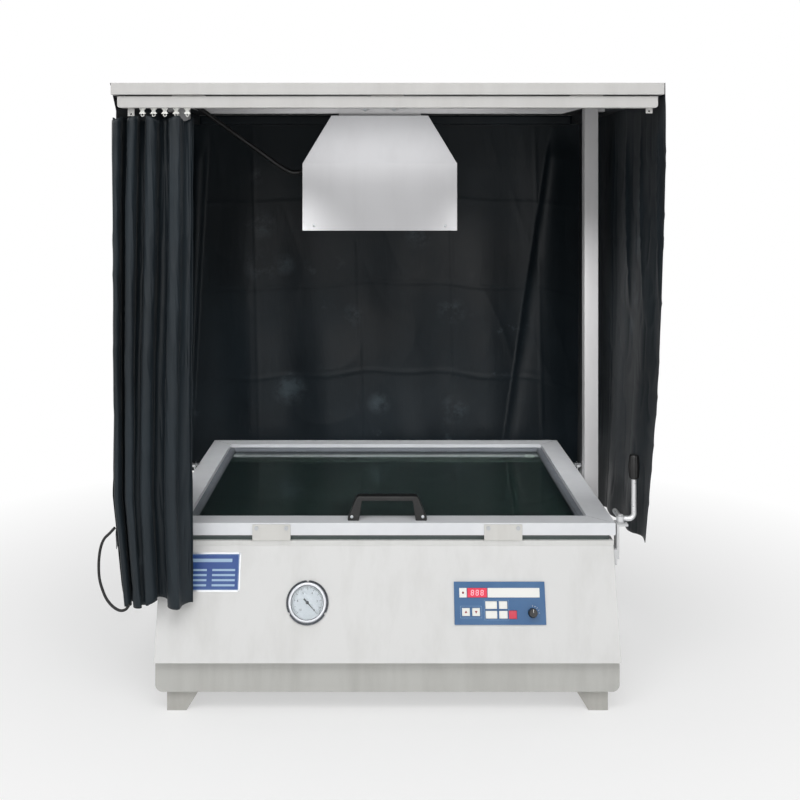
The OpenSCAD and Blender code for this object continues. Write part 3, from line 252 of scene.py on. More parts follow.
def slab(w, h, r, profile, dish=0.0):
    """A rounded rectangle whose outline is carried up a profile of (inset, height) and closed; the top may dish."""
    rings = []
    for inset, z in profile:
        edge = rounded_outline(w - 2 * inset, h - 2 * inset, max(r - inset, r * 0.2))
        rings.append(np.concatenate([edge, np.full((len(edge), 1), z)], 1))
    top = rings[-1]
    for share in (0.66, 0.33, 0.02):
        inner = top * [share, share, 1]
        inner[:, 2] = top[:, 2] - dish * (1 - share**2)
        rings.append(inner)
    rings = np.stack(rings)
    return rings, capped(*rings.shape[:2])


def tube(path, radius, sides=12):
    """A circle carried along a path on frames turned as little as can be, with its ends closed."""
    path = np.asarray(path, float)
    radius = np.broadcast_to(np.asarray(radius, float), len(path))
    ahead = np.gradient(path, axis=0)
    ahead /= np.linalg.norm(ahead, axis=1)[:, None]
    side = np.cross(ahead, [0.31, 0.9, 0.3])
    side /= np.linalg.norm(side, axis=1)[:, None]
    up = np.cross(side, ahead)
    a = np.linspace(0, 2 * np.pi, sides, endpoint=False)
    rings = path[:, None] + radius[:, None, None] * (
        np.cos(a)[None, :, None] * side[:, None] + np.sin(a)[None, :, None] * up[:, None]
    )
    return rings, capped(len(path), sides)


def curve(points, steps):
    """A smooth curve through the points: the cubic that leaves each one along the chord of its neighbours."""
    p = np.asarray(points, float)
    p = np.concatenate([p[:1], p, p[-1:]])
    t = (np.arange(steps) / steps)[None, :, None]
    p0, p1, p2, p3 = (p[k : len(p) - 3 + k, None] for k in range(4))
    line = 0.5 * (
        2 * p1 + (p2 - p0) * t + (2 * p0 - 5 * p1 + 4 * p2 - p3) * t**2 + (3 * p1 - p0 - 3 * p2 + p3) * t**3
    )
    return np.concatenate([line.reshape(-1, 3), p[-1:]])


def arc(line):
    """The length of a line of points."""
    return float(np.linalg.norm(np.diff(line, axis=0), axis=1).sum())


def along(part, matrix):
    """A part's points carried by a matrix."""
    points, faces = part
    points = np.asarray(points, float).reshape(-1, 3)
    m = np.array(matrix)
    return points @ m[:3, :3].T + m[:3, 3], faces


def shifted(part, offset):
    """A part moved by an offset."""
    return np.asarray(part[0], float).reshape(-1, 3) + np.asarray(offset, float), part[1]


def on_panel(part, place):
    """A part in panel coordinates (sideways, up the slope, out of it), set at a place across and down the slope."""
    points, faces = part
    points = np.asarray(points, float).reshape(-1, 3)
    origin = np.array([place[0], FRONT_Y, PANEL_TOP]) - place[1] * UP_SLOPE
    return origin + points[:, :1] * [1, 0, 0] + points[:, 1:2] * UP_SLOPE + points[:, 2:] * OUT_OF_SLOPE, faces


def bars(centres, angles, lengths, widths, height):
    """Thin flat blocks, one for each centre, turned by their angles in the panel's plane, from just under it."""
    centres, angles = np.asarray(centres, float), np.asarray(angles, float)
    ahead = np.stack([np.cos(angles), np.sin(angles)], -1)
    side = np.stack([-np.sin(angles), np.cos(angles)], -1)
    signs = np.array([[-1, -1], [1, -1], [1, 1], [-1, 1]])
    half_l, half_w = np.broadcast_to(lengths, len(centres)) / 2, np.broadcast_to(widths, len(centres)) / 2
    flat = (
        centres[:, None]
        + signs[None, :, :1] * (ahead * half_l[:, None])[:, None]
        + signs[None, :, 1:] * (side * half_w[:, None])[:, None]
    )
    both = np.stack(
        [np.concatenate([flat, np.full(flat.shape[:2] + (1,), z)], -1) for z in (height[0], height[1])], 1
    )
    box = np.array([[3, 2, 1, 0], [4, 5, 6, 7], [0, 1, 5, 4], [1, 2, 6, 5], [2, 3, 7, 6], [3, 0, 4, 7]])
    faces = box[None] + (np.arange(len(centres)) * 8)[:, None, None]
    return both.reshape(-1, 3), faces.reshape(-1, 4)


def outline_bars(x0, x1, y0, y1, width, height):
    """Four thin blocks along a rectangle's sides."""
    x, y = (x0 + x1) / 2, (y0 + y1) / 2
    middles = [[x, y0], [x, y1], [x0, y], [x1, y]]
    return bars(middles, np.radians([0, 0, 90, 90]), np.repeat([x1 - x0, y1 - y0], 2), width, height)


def to_axis(axis, at):
    """The matrix that turns local Z to an axis and moves the origin to a place."""
    return Matrix.Translation(Vector(at)) @ Vector((0, 0, 1)).rotation_difference(Vector(axis)).to_matrix().to_4x4()


# Materials


def hexa(code):
    """An sRGB hex colour as linear red, green, blue and a full alpha."""
    c = np.array([int(code[k : k + 2], 16) for k in (1, 3, 5)]) / 255
    c = np.where(c <= 0.04045, c / 12.92, ((c + 0.055) / 1.055) ** 2.4)
    return (*c.tolist(), 1.0)


def add(tree, kind, inputs=None, **settings):
    """Adds one node, sets its settings, and gives its inputs values or other nodes' outputs."""
    node = tree.nodes.new("ShaderNode" + kind)
    for name, value in settings.items():
        setattr(node, name, value)
    for key, value in (inputs or {}).items():
        if isinstance(value, bpy.types.NodeSocket):
            tree.links.new(value, node.inputs[key])
        else:
            node.inputs[key].default_value = value
    return node


def begun(name, colour, rough, metal=0.0, **sockets):
    """A new material: its tree, its shader with plain values on its own sockets, and the Object coordinates."""
    material = bpy.data.materials.new(name)
    material.use_nodes = True
    tree = material.node_tree
    shader = tree.nodes["Principled BSDF"]
    shader.inputs["Base Color"].default_value = hexa(colour)
    shader.inputs["Roughness"].default_value = rough
    shader.inputs["Metallic"].default_value = metal
    for key, value in sockets.items():
        shader.inputs[key.replace("_", " ")].default_value = value
    return material, tree, shader, add(tree, "TexCoord").outputs["Object"]


def noise(tree, where, size, detail=3.0, rough=0.5):
    """A noise whose blots are about size metres across."""
    return add(
        tree, "TexNoise", {"Vector": where, "Scale": 1 / size, "Detail": detail, "Roughness": rough}
    ).outputs["Fac"]


def ramp(tree, value, start, end, first=0.0, last=1.0):
    """A value mapped from one range to another, clamped."""
    return add(
        tree, "MapRange", {"Value": value, "From Min": start, "From Max": end, "To Min": first, "To Max": last}
    ).outputs["Result"]


def blended(tree, share, first, second):
    """Two colours mixed by a share; either may be a hex colour or another output."""
    mix = add(tree, "Mix", {"Factor": share}, data_type="RGBA")
    for key, value in ((6, first), (7, second)):
        if isinstance(value, str):
            mix.inputs[key].default_value = hexa(value)
        else:
            tree.links.new(value, mix.inputs[key])
    return mix.outputs[2]


def maths(tree, how, a, b=0.0):
    """One arithmetic step."""
    return add(tree, "Math", {0: a, 1: b}, operation=how).outputs[0]


def bumped(tree, shader, height, depth, strength=1.0, before=None):
    """Bumps the shader's normal by a height field whose full range is depth metres."""
    inputs = {"Height": height, "Distance": depth, "Strength": strength}
    if before is not None:
        inputs["Normal"] = before
    normal = add(tree, "Bump", inputs).outputs["Normal"]
    tree.links.new(normal, shader.inputs["Normal"])
    return normal


def stretched(tree, where, scale):
    """Coordinates squeezed per axis, so a pattern runs long across the small ones."""
    return add(tree, "Mapping", {"Vector": where, "Scale": scale}).outputs["Vector"]


def powder_coat(name, colour, shade, rough=0.42, dust=0.35):
    """Polyester powder coat, baked on sheet steel: an even satin film with orange peel, so lights on it are soft
    and slightly ragged; runs of wiped dust darken it a little and dull it in patches."""
    m, t, s, at = begun(name, colour, rough, IOR=1.5)
    run = noise(t, stretched(t, at, (9, 9, 1.2)), 0.5, 4, 0.6)
    patch = noise(t, at, 0.16, 5, 0.6)
    grime = maths(t, "MULTIPLY", ramp(t, run, 0.45, 0.85), dust)
    t.links.new(blended(t, grime, colour, shade), s.inputs["Base Color"])
    t.links.new(ramp(t, patch, 0.3, 0.75, rough - 0.05, rough + 0.12), s.inputs["Roughness"])
    # Real orange peel is about 2 mm across; it is drawn at 5 mm so that it shows
    bumped(t, s, noise(t, at, 5 * MM, 2), 0.12 * MM, 0.6)
    return m


def anodised_rail(name, colour, shade, rough=0.42):
    """Matt anodised aluminium extrusion: the etched oxide film scatters light like pale paint and only a part of it
    shines, along the die lines; handling leaves duller patches. A dark hairline marks the mitred joints."""
    m, t, s, at = begun(name, colour, rough, IOR=1.3)
    along_x = noise(t, stretched(t, at, (2, 260, 260)), 1.0, 3)
    handled = noise(t, at, 0.09, 4, 0.6)
    split = add(t, "SeparateXYZ", {"Vector": at}).outputs
    corner = maths(t, "SUBTRACT", maths(t, "ABSOLUTE", split["X"]), maths(t, "ABSOLUTE", split["Y"]))
    seam = maths(t, "COMPARE", corner, 0.1)
    seam.node.inputs[2].default_value = 0.55 * MM
    base = blended(t, ramp(t, handled, 0.35, 0.8, 0, 0.5), colour, shade)
    t.links.new(blended(t, maths(t, "MULTIPLY", seam, 0.8), base, "#4A4C4E"), s.inputs["Base Color"])
    t.links.new(ramp(t, handled, 0.3, 0.8, rough, rough + 0.14), s.inputs["Roughness"])
    bumped(t, s, along_x, 0.03 * MM, 0.5)
    return m


def plate_steel(name, colour, rough, metal=1.0):
    """Zinc-plated or brushed steel: fine grain and a faint mottle, bright but not mirror-like."""
    m, t, s, at = begun(name, colour, rough, metal)
    mottle = noise(t, at, 7 * MM, 4, 0.7)
    t.links.new(ramp(t, mottle, 0.3, 0.8, rough - 0.06, rough + 0.16), s.inputs["Roughness"])
    bumped(t, s, noise(t, at, 0.8 * MM, 2), 0.02 * MM, 0.5)
    return m


def moulded_plastic(name, colour, rough=0.45, texture=1.2 * MM, depth=0.05 * MM, worn="#6A6A6A"):
    """Injection-moulded nylon or ABS: the mould's fine spark texture, a little polished and scuffed by hands."""
    m, t, s, at = begun(name, colour, rough, IOR=1.5)
    scuff = ramp(t, noise(t, at, 14 * MM, 5, 0.7), 0.55, 0.8, 0, 0.16)
    t.links.new(blended(t, scuff, colour, worn), s.inputs["Base Color"])
    t.links.new(ramp(t, noise(t, at, 20 * MM, 3), 0.3, 0.7, rough - 0.08, rough + 0.08), s.inputs["Roughness"])
    bumped(t, s, noise(t, at, texture, 2), depth, 0.6)
    return m


def blanket_rubber(name):
    """Calendered natural rubber sheet: dead matte and dark, with the press cloth's fine print, a bloom of grey
    and the pale marks that frames leave on it."""
    m, t, s, at = begun(name, "#434E4D", 0.58, IOR=1.5)
    bloom = ramp(t, noise(t, at, 0.12, 6, 0.65), 0.42, 0.8, 0, 0.4)
    rub = ramp(t, noise(t, stretched(t, at, (1, 7, 1)), 0.05, 5, 0.7), 0.62, 0.75, 0, 0.3)
    sheet = blended(t, maths(t, "MAXIMUM", bloom, rub), "#434E4D", "#5E6A67")
    bead = ramp(t, add(t, "SeparateXYZ", {"Vector": at}).outputs["Z"], 0.356, 0.361)
    t.links.new(blended(t, bead, sheet, "#666B6C"), s.inputs["Base Color"])
    # The cloth print is about 0.6 mm; it is drawn at 2 mm so that it shows
    bumped(t, s, noise(t, at, 2 * MM, 2), 0.08 * MM, 0.7)
    return m


def float_glass(name, tint="#DDEDE8", bend=1.52):
    """Float glass 6 mm thick: clear with a green cast and true reflections, with faint wipe marks on its face."""
    m, t, s, at = begun(name, tint, 0.0, IOR=bend, Transmission_Weight=1.0)
    wipe = ramp(t, noise(t, stretched(t, at, (1, 5, 1)), 0.22, 5, 0.7), 0.5, 0.85, 0.0, 0.05)
    t.links.new(wipe, s.inputs["Roughness"])
    return m


def blackout_cloth(name, colour, lit, smudge, weave_mm=0.8, smudges=()):
    """Coated blackout cloth: a tight plain weave under a soft dark film. The film gives a wide dull sheen, long
    pulls and storage creases catch the light, and chalky hand marks stay on it."""
    m, t, s, at = begun(name, colour, 0.5, IOR=1.34, Sheen_Weight=0.04, Sheen_Roughness=0.45)
    uv = add(t, "TexCoord").outputs["UV"]
    cloud = noise(t, at, 0.3, 4, 0.6)
    spots = noise(t, at, 0.085, 6, 0.72)
    where = noise(t, at, 0.42, 2, 0.5)
    chalk = maths(t, "MULTIPLY", ramp(t, spots, 0.6, 0.7), ramp(t, where, 0.58, 0.7))
    for place, size in smudges:
        near = add(t, "VectorMath", {0: at, 1: place}, operation="DISTANCE").outputs["Value"]
        mark = maths(t, "MULTIPLY", ramp(t, near, 0.3 * size, size, 1, 0), ramp(t, spots, 0.44, 0.6))
        chalk = maths(t, "MAXIMUM", chalk, mark)
    base = blended(t, ramp(t, cloud, 0.35, 0.75), colour, lit)
    t.links.new(blended(t, maths(t, "MULTIPLY", chalk, 0.5), base, smudge), s.inputs["Base Color"])
    t.links.new(ramp(t, cloud, 0.3, 0.7, 0.4, 0.54), s.inputs["Roughness"])
    # The threads are 0.8 mm apart; they are drawn 4 mm apart so that they show
    coarse = 2 * math.pi / (5 * weave_mm * MM)
    split = add(t, "SeparateXYZ", {"Vector": uv}).outputs
    warp = maths(t, "SINE", maths(t, "MULTIPLY", split["X"], coarse))
    weft = maths(t, "SINE", maths(t, "MULTIPLY", split["Y"], coarse))
    weave = bumped(t, s, maths(t, "MULTIPLY", warp, weft), 0.05 * MM, 0.35)
    pulls = noise(t, stretched(t, uv, (6, 1.3, 1)), 0.22, 6, 0.62)
    bumped(t, s, pulls, 3 * MM, 0.35, weave)
    return m


def screen_print(name, colour, rough=0.35):
    """Screen-printed polyester overlay: a flat saturated film with a very fine grain."""
    m, t, s, at = begun(name, colour, rough, IOR=1.5, Coat_Weight=0.1, Coat_Roughness=0.3)
    fade = ramp(t, noise(t, at, 0.06, 4), 0.35, 0.75, 0, 0.12)
    t.links.new(blended(t, fade, colour, "#7FA3C4"), s.inputs["Base Color"])
    bumped(t, s, noise(t, at, 1.5 * MM, 2), 0.02 * MM, 0.6)
    return m


def plain_film(name, colour, rough=0.4, glow=None):
    """A printed or moulded small part in one colour, with a slight uneven gloss."""
    m, t, s, at = begun(name, colour, rough, IOR=1.5)
    t.links.new(ramp(t, noise(t, at, 6 * MM, 4), 0.3, 0.7, rough - 0.06, rough + 0.1), s.inputs["Roughness"])
    bumped(t, s, noise(t, at, 1.5 * MM, 2), 0.02 * MM, 0.5)
    if glow:
        s.inputs["Emission Color"].default_value = hexa(glow)
        s.inputs["Emission Strength"].default_value = 0.35
    return m


def varnished_core(name):
    """Varnished transformer laminations: thin plates 0.5 mm apart, drawn at 2 mm, brown in their joints."""
    m, t, s, at = begun(name, "#6E6A62", 0.45, 0.6)
    split = add(t, "SeparateXYZ", {"Vector": at}).outputs
    plates = maths(t, "SINE", maths(t, "MULTIPLY", split["Y"], 2 * math.pi / (2 * MM)))
    t.links.new(blended(t, ramp(t, plates, -1, 1), "#5B4A36", "#7B7870"), s.inputs["Base Color"])
    bumped(t, s, plates, 0.1 * MM, 0.7)
    return m


FINISHES = {}


def finish(name, maker, *args, **more):
    """A material made once and kept by name."""
    if name not in FINISHES:
        FINISHES[name] = maker(name, *args, **more)
    return FINISHES[name]


def cabinet_paint():
    """The cabinet's paint."""
    return finish("light_powder_coat", powder_coat, "#D8D8D7", "#B2B1AC")


def post_paint():
    """The paint of the posts, the beam and the lamp's bracket."""
    return finish("satin_post_paint", powder_coat, "#CDCCCD", "#A5A3A4", rough=0.36)


def rail_paint():
    """The paint of the top frame and the curtain track."""
    return finish("rail_powder_coat", powder_coat, "#BAB9B7", "#9C9A97")


def black_nylon():
    """The handle's, the inlet's and the gland's nylon."""
    return finish("black_nylon", moulded_plastic, "#131313", 0.42)


def white_acetal():
    """The gliders' and the port's acetal."""
    return finish("white_acetal", moulded_plastic, "#EFEFEA", 0.4, worn="#C9C9C2")


def hose_rubber():
    """The rubber of the lamp's cable and the pump's hose."""
    return finish("rubber_sheath", moulded_plastic, "#0E0E0F", 0.5, 2 * MM, 0.04 * MM)


def pale_print():
    """The pale ink of the printed lines."""
    return finish("pale_print", plain_film, "#9DB9D3", 0.4)


def zinc():
    """The fasteners' and hinges' plating."""
    return finish("zinc_plated_steel", plate_steel, "#C3C6C9", 0.32)


# Chalky hand marks: place and radius, in metres
HAND_MARKS = [
    ((-0.376, 0.5, 1.02), 0.05), ((-0.405, 0.5, 1.03), 0.03), ((-0.378, 0.5, 0.9), 0.06), ((-0.388, 0.5, 1.17), 0.03),
    ((-0.306, 0.5, 0.9), 0.04), ((-0.102, 0.5, 0.747), 0.04), ((-0.291, 0.5, 0.525), 0.06), ((-0.02, 0.5, 0.48), 0.04),
    ((0.2, 0.5, 0.76), 0.05), ((0.1, 0.5, 0.99), 0.05), ((0.21, 0.5, 0.46), 0.05), ((0.59, -0.27, 1.1), 0.04),
    ((0.59, -0.26, 1.0), 0.045), ((0.585, -0.25, 0.88), 0.06), ((0.585, -0.21, 0.8), 0.04),
]


def cloth():
    """The one cloth of all curtains."""
    look = bpy.context.scene.exposure_cloth
    return finish(
        "blackout_cloth", blackout_cloth, "#131A1F", "#1E272D", "#505B62", weave_mm=look.thread_mm, smudges=HAND_MARKS
    )


# Pieces: cabinet


def cross_recess(radius, height, rings=14, segments=48):
    """A domed screw head: height falls as a quarter ellipse, and a cross of two round-ended slots is pressed in."""
    r = np.linspace(0, 1, rings) ** 0.8 * radius
    a = np.linspace(0, 2 * np.pi, segments, endpoint=False)
    rr, aa = np.meshgrid(r, a, indexing="ij")
    x, y = rr * np.cos(aa), rr * np.sin(aa)
    z = height * np.sqrt(np.clip(1 - (rr / radius) ** 2 * 0.92, 0, 1))
    slot_w, slot_l = 0.16 * radius, 0.62 * radius
    upright = np.maximum(np.abs(x) / slot_w, np.abs(y) / slot_l)
    level = np.maximum(np.abs(y) / slot_w, np.abs(x) / slot_l)
    arm = np.minimum(upright, level)
    z = z - height * 0.6 * np.clip(1.6 - arm, 0, 1)
    top = np.stack([x, y, z], -1)
    foot = np.stack([radius * np.cos(a), radius * np.sin(a), 0 * a], -1)[None]
    grid = np.concatenate([top, foot])
    faces = quads(len(grid), segments, round_columns=True).tolist()
    faces.append([(len(grid) - 1) * segments + k for k in range(segments)])
    return grid, faces


def cabinet():
    """Sheet-metal cabinet with rounded folds: shell, rear panel and its screws, deck, tray, feet and inlet."""
    paint = cabinet_paint()
    softened("cabinet_shell", 0.9 * MM, paint)
    softened("rear_panel", 0.4 * MM, paint)
    softened("deck", 1.4 * MM, finish("deck_powder_coat", powder_coat, "#D9D9D7", "#B2B2AD"))
    softened(
        "base_tray", 1.2 * MM, finish("band_powder_coat", powder_coat, "#BBBBB7", "#95948F", dust=0.5)
    )
    softened("feet", 0.8 * MM, finish("foot_powder_coat", powder_coat, "#B2B1AC", "#85837C", dust=0.7))
    softened("power_inlet", 0.5 * MM, black_nylon())
    foot, rear = span("rear_panel")
    x = np.linspace(foot[0] + 0.03, rear[0] - 0.03, 5)
    places = [(a, rear[1], b) for a in x for b in (foot[2] + 0.014, rear[2] - 0.014)]
    heads = [along(cross_recess(3.5 * MM, 1.8 * MM), to_axis((0, 1, 0), p)) for p in places]
    piece("rear_panel_screws", heads, zinc(), "cabinet")


def blanket():
    """Rubber blanket with a rounded sealing bead, the grey suction strip and the white port over it."""
    rubber = finish("calendered_rubber", blanket_rubber)
    softened("rubber_blanket", 2.5 * MM, rubber, segments=3)
    base = low("rubber_blanket")
    strip_low, strip_high = span("vacuum_nozzle")
    felt = finish("suction_felt", powder_coat, "#8B9390", "#5F6664", rough=0.7, dust=0.8)
    z = base[2] + 3 * MM
    w, d = strip_high[0] - strip_low[0], strip_high[1] - strip_low[1]
    # The strip: a thin slab whose top waves by half a millimetre
    strip = slab(w, d, 4 * MM, [(0, 0), (0, 1.4 * MM), (0.6 * MM, 2 * MM)], 0.2 * MM)
    strip = shifted(strip, [(strip_low[0] + strip_high[0]) / 2, (strip_low[1] + strip_high[1]) / 2, z])
    port_at = [0.413, (strip_low[1] + strip_high[1]) / 2 + 5 * MM, z + 2 * MM]
    piece("suction_strip", [strip], felt, "cabinet", ["vacuum_nozzle"])
    port = turned(
        [
            (4.5, -3), (4.5, 3.6), (5.5, 4.4), (9, 5), (12.5, 4.4), (14, 2.6), (14, 0), (9, 0), (9, -35),
            (6.5, -35), (6.5, -3), (4.5, -3),
        ]
    )
    piece("vacuum_port", [along(port, Matrix.Translation(port_at))], white_acetal(), "cabinet")


def glass_frame():
    """Extruded rails with mitre lines, glazing beads, the pane, the handle and the plates with their screws."""
    rails = finish("anodised_aluminium", anodised_rail, "#E5E7EA", "#D0D2D6")
    softened("glass_frame_rails", 0.7 * MM, rails)
    beads = finish("bead_aluminium", anodised_rail, "#757A80", "#5A5F65")
    softened("glazing_beads", 0.6 * MM, beads)
    painted(finish("float_glass", float_glass), "glass_pane")
    softened("lift_handle", 2.2 * MM, black_nylon(), segments=4)
    softened("catch_plates", 0.8 * MM, finish("plate_powder_coat", powder_coat, "#D3D2CE", "#A8A69F"))
    painted(zinc(), "frame_fasteners")
    front, top = low("catch_plates")[1], high("catch_plates")[2]
    places = [
        (4.6, 2.6, (side * CATCH_X + end * CATCH_SCREW, front, top - 7.5 * MM)) for side in (-1, 1) for end in (-1, 1)
    ]
    foot, far = span("lift_handle")
    for x in (foot[0] + 9 * MM, far[0] - 9 * MM):
        places.append((3.4, 1.6, (x, foot[1] + 0.4 * MM, foot[2] + 9 * MM)))
    heads = [along(cross_recess(r * MM, h * MM), to_axis((0, -1, 0), at)) for r, h, at in places]
    piece("frame_screw_heads", heads, zinc(), "glass_frame")


def hardware():
    """Hinges, brackets and gas springs: plated leaves, enamelled tubes with a lip, and polished rods."""
    for name in ("frame_hinge_leaves", "base_hinge_leaves"):
        softened(name, 0.4 * MM, zinc())
    painted(zinc(), "hinge_pins")
    softened("side_brackets", 0.8 * MM, finish("bracket_powder_coat", powder_coat, "#CDCECF", "#9FA0A2"))
    enamel = finish("black_enamel", moulded_plastic, "#1B1B1D", 0.22, 3 * MM, 0.02 * MM)
    chrome = finish("hard_chrome", plate_steel, "#D4D6D8", 0.12)
    for side in ("left", "right"):
        softened(side + "_gas_cylinder", 0.6 * MM, enamel)
        painted(chrome, side + "_gas_rod")


def fluted(radius, length, flutes, depth, rings=26, segments=96):
    """A grip: radius swells and closes along its length, and dips as a rectified cosine at each flute."""
    t = np.linspace(0, 1, rings)
    a = np.linspace(0, 2 * np.pi, segments, endpoint=False)
    ends = np.clip(np.minimum(t, 1 - t) / 0.1, 0, 1)
    body = radius * (0.72 + 0.28 * np.sqrt(1 - (1 - ends) ** 2)) * (1 - 0.06 * np.cos(2 * np.pi * t))
    dip = depth * np.abs(np.cos(flutes * a / 2)) ** 6
    r = body[:, None] - dip[None] * np.clip((ends[:, None] - 0.2) / 0.5, 0, 1)
    grid = np.stack([r * np.cos(a), r * np.sin(a), np.broadcast_to((t * length)[:, None], r.shape)], -1)
    return grid, capped(rings, segments)


def hold_downs():
    """Bent steel levers, each one rod along a curve, with a boss on the pin and a fluted black grip."""
    steel = finish("bright_steel_rod", plate_steel, "#DADBDC", 0.3, metal=0.55)
    grip_black = finish("grip_nylon", moulded_plastic, "#101010", 0.4)
    foot, top = span("right_clamp_lever")
    z = foot[2] + 6 * MM
    for side, sign in (("right", 1), ("left", -1)):
        pivot = np.array([sign * LEVER_X, FRONT_Y + 13 * MM, z])
        bend = np.linspace(0, np.pi / 2, 9)
        corner = np.stack([18 + 12 * np.sin(bend), 0 * bend, 12 - 12 * np.cos(bend)], -1)
        line = np.concatenate([[[0, 0, 0], [10, 0, 0]], corner, [[30, 0, 50], [30, 0, 134]]]) * MM * [sign, 1, 1]
        finger = np.array([[0, 0, 0], [0, 30, 0], [0, 54, 0], [0, 60, 0], [0, 63.2, 0], [0, 64, 0]]) * MM
        boss = turned([(4.05, -6), (8.4, -6), (9, -5.4), (9, 5.4), (8.4, 6), (4.05, 6), (4.05, -6)], 48)
        parts = [
            shifted(tube(line, 6 * MM, 24), pivot),
            shifted(tube(finger, np.array([6, 6, 6, 5.4, 3.4, 1.2]) * MM, 24), pivot),
            shifted(boss, pivot),
        ]
        body = side + "_hold_down"
        piece(side + "_lever_rod", parts, steel, body, [side + "_clamp_lever"])
        grip = shifted(fluted(11.5 * MM, 54 * MM, 14, 0.7 * MM), pivot + [sign * 0.03, 0, top[2] - z - 54 * MM])
        piece(side + "_lever_grip", [grip], grip_black, body, [side + "_clamp_lever"])


# Pieces: gantry, track and lamp


def gantry():
    """Square-tube posts, beam and top frame, painted, with rounded edges."""
    softened("lamp_gantry", 1.5 * MM, post_paint())
    softened("top_frame", 1.5 * MM, rail_paint())


def hex_head(across, height):
    """A hexagon bolt head: six flats carried up, chamfered to a round face."""
    a = np.linspace(0, 2 * np.pi, 48, endpoint=False)
    flats = across / 2 / np.cos((a + np.pi / 6) % (np.pi / 3) - np.pi / 6)
    rings = []
    for share, z in ((1.0, 0), (1.0, 0.78), (0.94, 1.0), (0.4, 1.0), (0.02, 1.0)):
        r = np.minimum(flats, across / 2 * 1.06) if z >= 1 else flats
        rings.append(np.stack([share * r * np.cos(a), share * r * np.sin(a), 0 * a + z * height], -1))
    return np.stack(rings), capped(len(rings), len(a))


def lamp_head():
    """Lamp hood with its folded seam, bracket with hexagon bolts, reflector, lamp and ceramic sockets."""
    hood_paint = finish("hood_powder_coat", powder_coat, "#B9B9BB", "#A7A6A8", rough=0.4)
    softened("lamp_hood", 1.6 * MM, hood_paint, segments=3)
    softened("lamp_bracket", 0.8 * MM, post_paint())
    painted(finish("bright_reflector", plate_steel, "#E3E6E8", 0.14), "lamp_reflector")
    painted(finish("frosted_quartz", plain_film, "#F1EFE6", 0.3, glow="#FFF6E0"), "lamp_tube")
    painted(finish("glazed_ceramic", plain_film, "#E6E0D2", 0.2), "lamp_sockets")
    softened("lamp_gland", 0.5 * MM, black_nylon())
    z = high("lamp_bracket")[2] - 8 * MM
    heads = [
        along(hex_head(11 * MM, 4.4 * MM), to_axis((0, face, 0), (HOOD_X + side * 0.037, face * 0.021, z)))
        for side in (-1, 1)
        for face in (-1, 1)
    ]
    piece("bracket_bolt_heads", heads, zinc(), "cabinet")
    # Pop rivets along the hood's lower seam on its four sides
    hood = span("lamp_hood")
    dome = turned([(0.01, 1.3), (1.6, 1.2), (2.9, 0.6), (3.3, 0), (0.01, 0)], 20)
    seam_z = hood[0][2] + 12 * MM
    front = [((0, sign, 0), (HOOD_X + x, sign * hood[1][1], seam_z)) for x in (-0.16, 0.16) for sign in (-1, 1)]
    sides = [((sign, 0, 0), (hood[sign > 0][0], y, seam_z)) for y in (-0.12, 0.12) for sign in (-1, 1)]
    rivets = [along(dome, to_axis(axis, place)) for axis, place in front + sides]
    piece("hood_rivets", rivets, zinc(), "cabinet")


CABLE_POINTS = [
    (-224, 0, 1173), (-245, 0, 1173), (-277, -6, 1190), (-325, -12, 1225), (-385, -20, 1268), (-444, -28, 1311),
    (-480, -36, 1336), (-503, -45, 1344), (-519, -44, 1345), (-525, -32, 1345), (-525, -13, 1345),
]


def lamp_lead():
    """The lamp's cable: a round sheath from the hood's gland to the gantry's hole at the left post, with a sag."""
    line = curve(np.array(CABLE_POINTS) * MM, 8)
    sheath = tube(line, 6 * MM, 20)
    cable = piece("lamp_cable_sheath", [sheath], hose_rubber(), "cabinet", ["lamp_cable"])


def glider_parts(x):
    """A glider: two rollers in the track on a shank, a flat body below it, an eye and a wire hook under it."""
    wheel = turned([(0.02, -2), (4.6, -2), (5.2, -1.4), (5.2, 1.4), (4.6, 2), (0.02, 2)], 32)
    parts = []
    axle_z = TRACK_Z + 8.6 * MM
    for side in (-1, 1):
        parts.append(along(wheel, to_axis((0, 1, 0), (x, TRACK_Y + side * 7 * MM, axle_z))))
    axle = np.array([[x, TRACK_Y + reach * MM, axle_z] for reach in (-9, 0, 9)])
    parts.append(tube(axle, 1.6 * MM, 12))
    shank = slab(7 * MM, 5.6 * MM, 1 * MM, [(0.3 * MM, -3 * MM), (0, -2.6 * MM), (0, 8 * MM), (0.5 * MM, 8.6 * MM)])
    parts.append(shifted(shank, [x, TRACK_Y, TRACK_Z]))
    # Waisted body: its half width narrows in the middle, as an hourglass
    t = np.linspace(0, 1, 15)
    half = (7 - 3.4 * np.sin(np.pi * t) ** 2) * MM
    z = TRACK_Z - 0.3 * MM - t * 12 * MM
    rings = []
    for sx, sy in ((-1, -1), (1, -1), (1, 1), (-1, 1)):
        rings.append(np.stack([x + sx * half, TRACK_Y + sy * (2.4 - 0.6 * np.sin(np.pi * t)) * MM, z], -1))
    parts.append((np.stack(rings, 1), capped(len(t), 4)))
    a = np.linspace(0, 2 * np.pi, 25)
    eye = np.stack([x + 3.2 * MM * np.cos(a), TRACK_Y + 0 * a, TRACK_Z - 14.6 * MM + 3.2 * MM * np.sin(a)], -1)
    parts.append(tube(eye, 0.9 * MM, 10))
    return parts


def curtain_rail():
    """Curtain track with its five gliders."""
    softened("curtain_track", 0.8 * MM, rail_paint())
    for k in range(1, 6):
        node = "glider_%d" % k
        x = sum(corner[0] for corner in span(node)) / 2
        piece(node + "_rollers", glider_parts(x), white_acetal(), node + "_body", [node])


# Pieces: controls


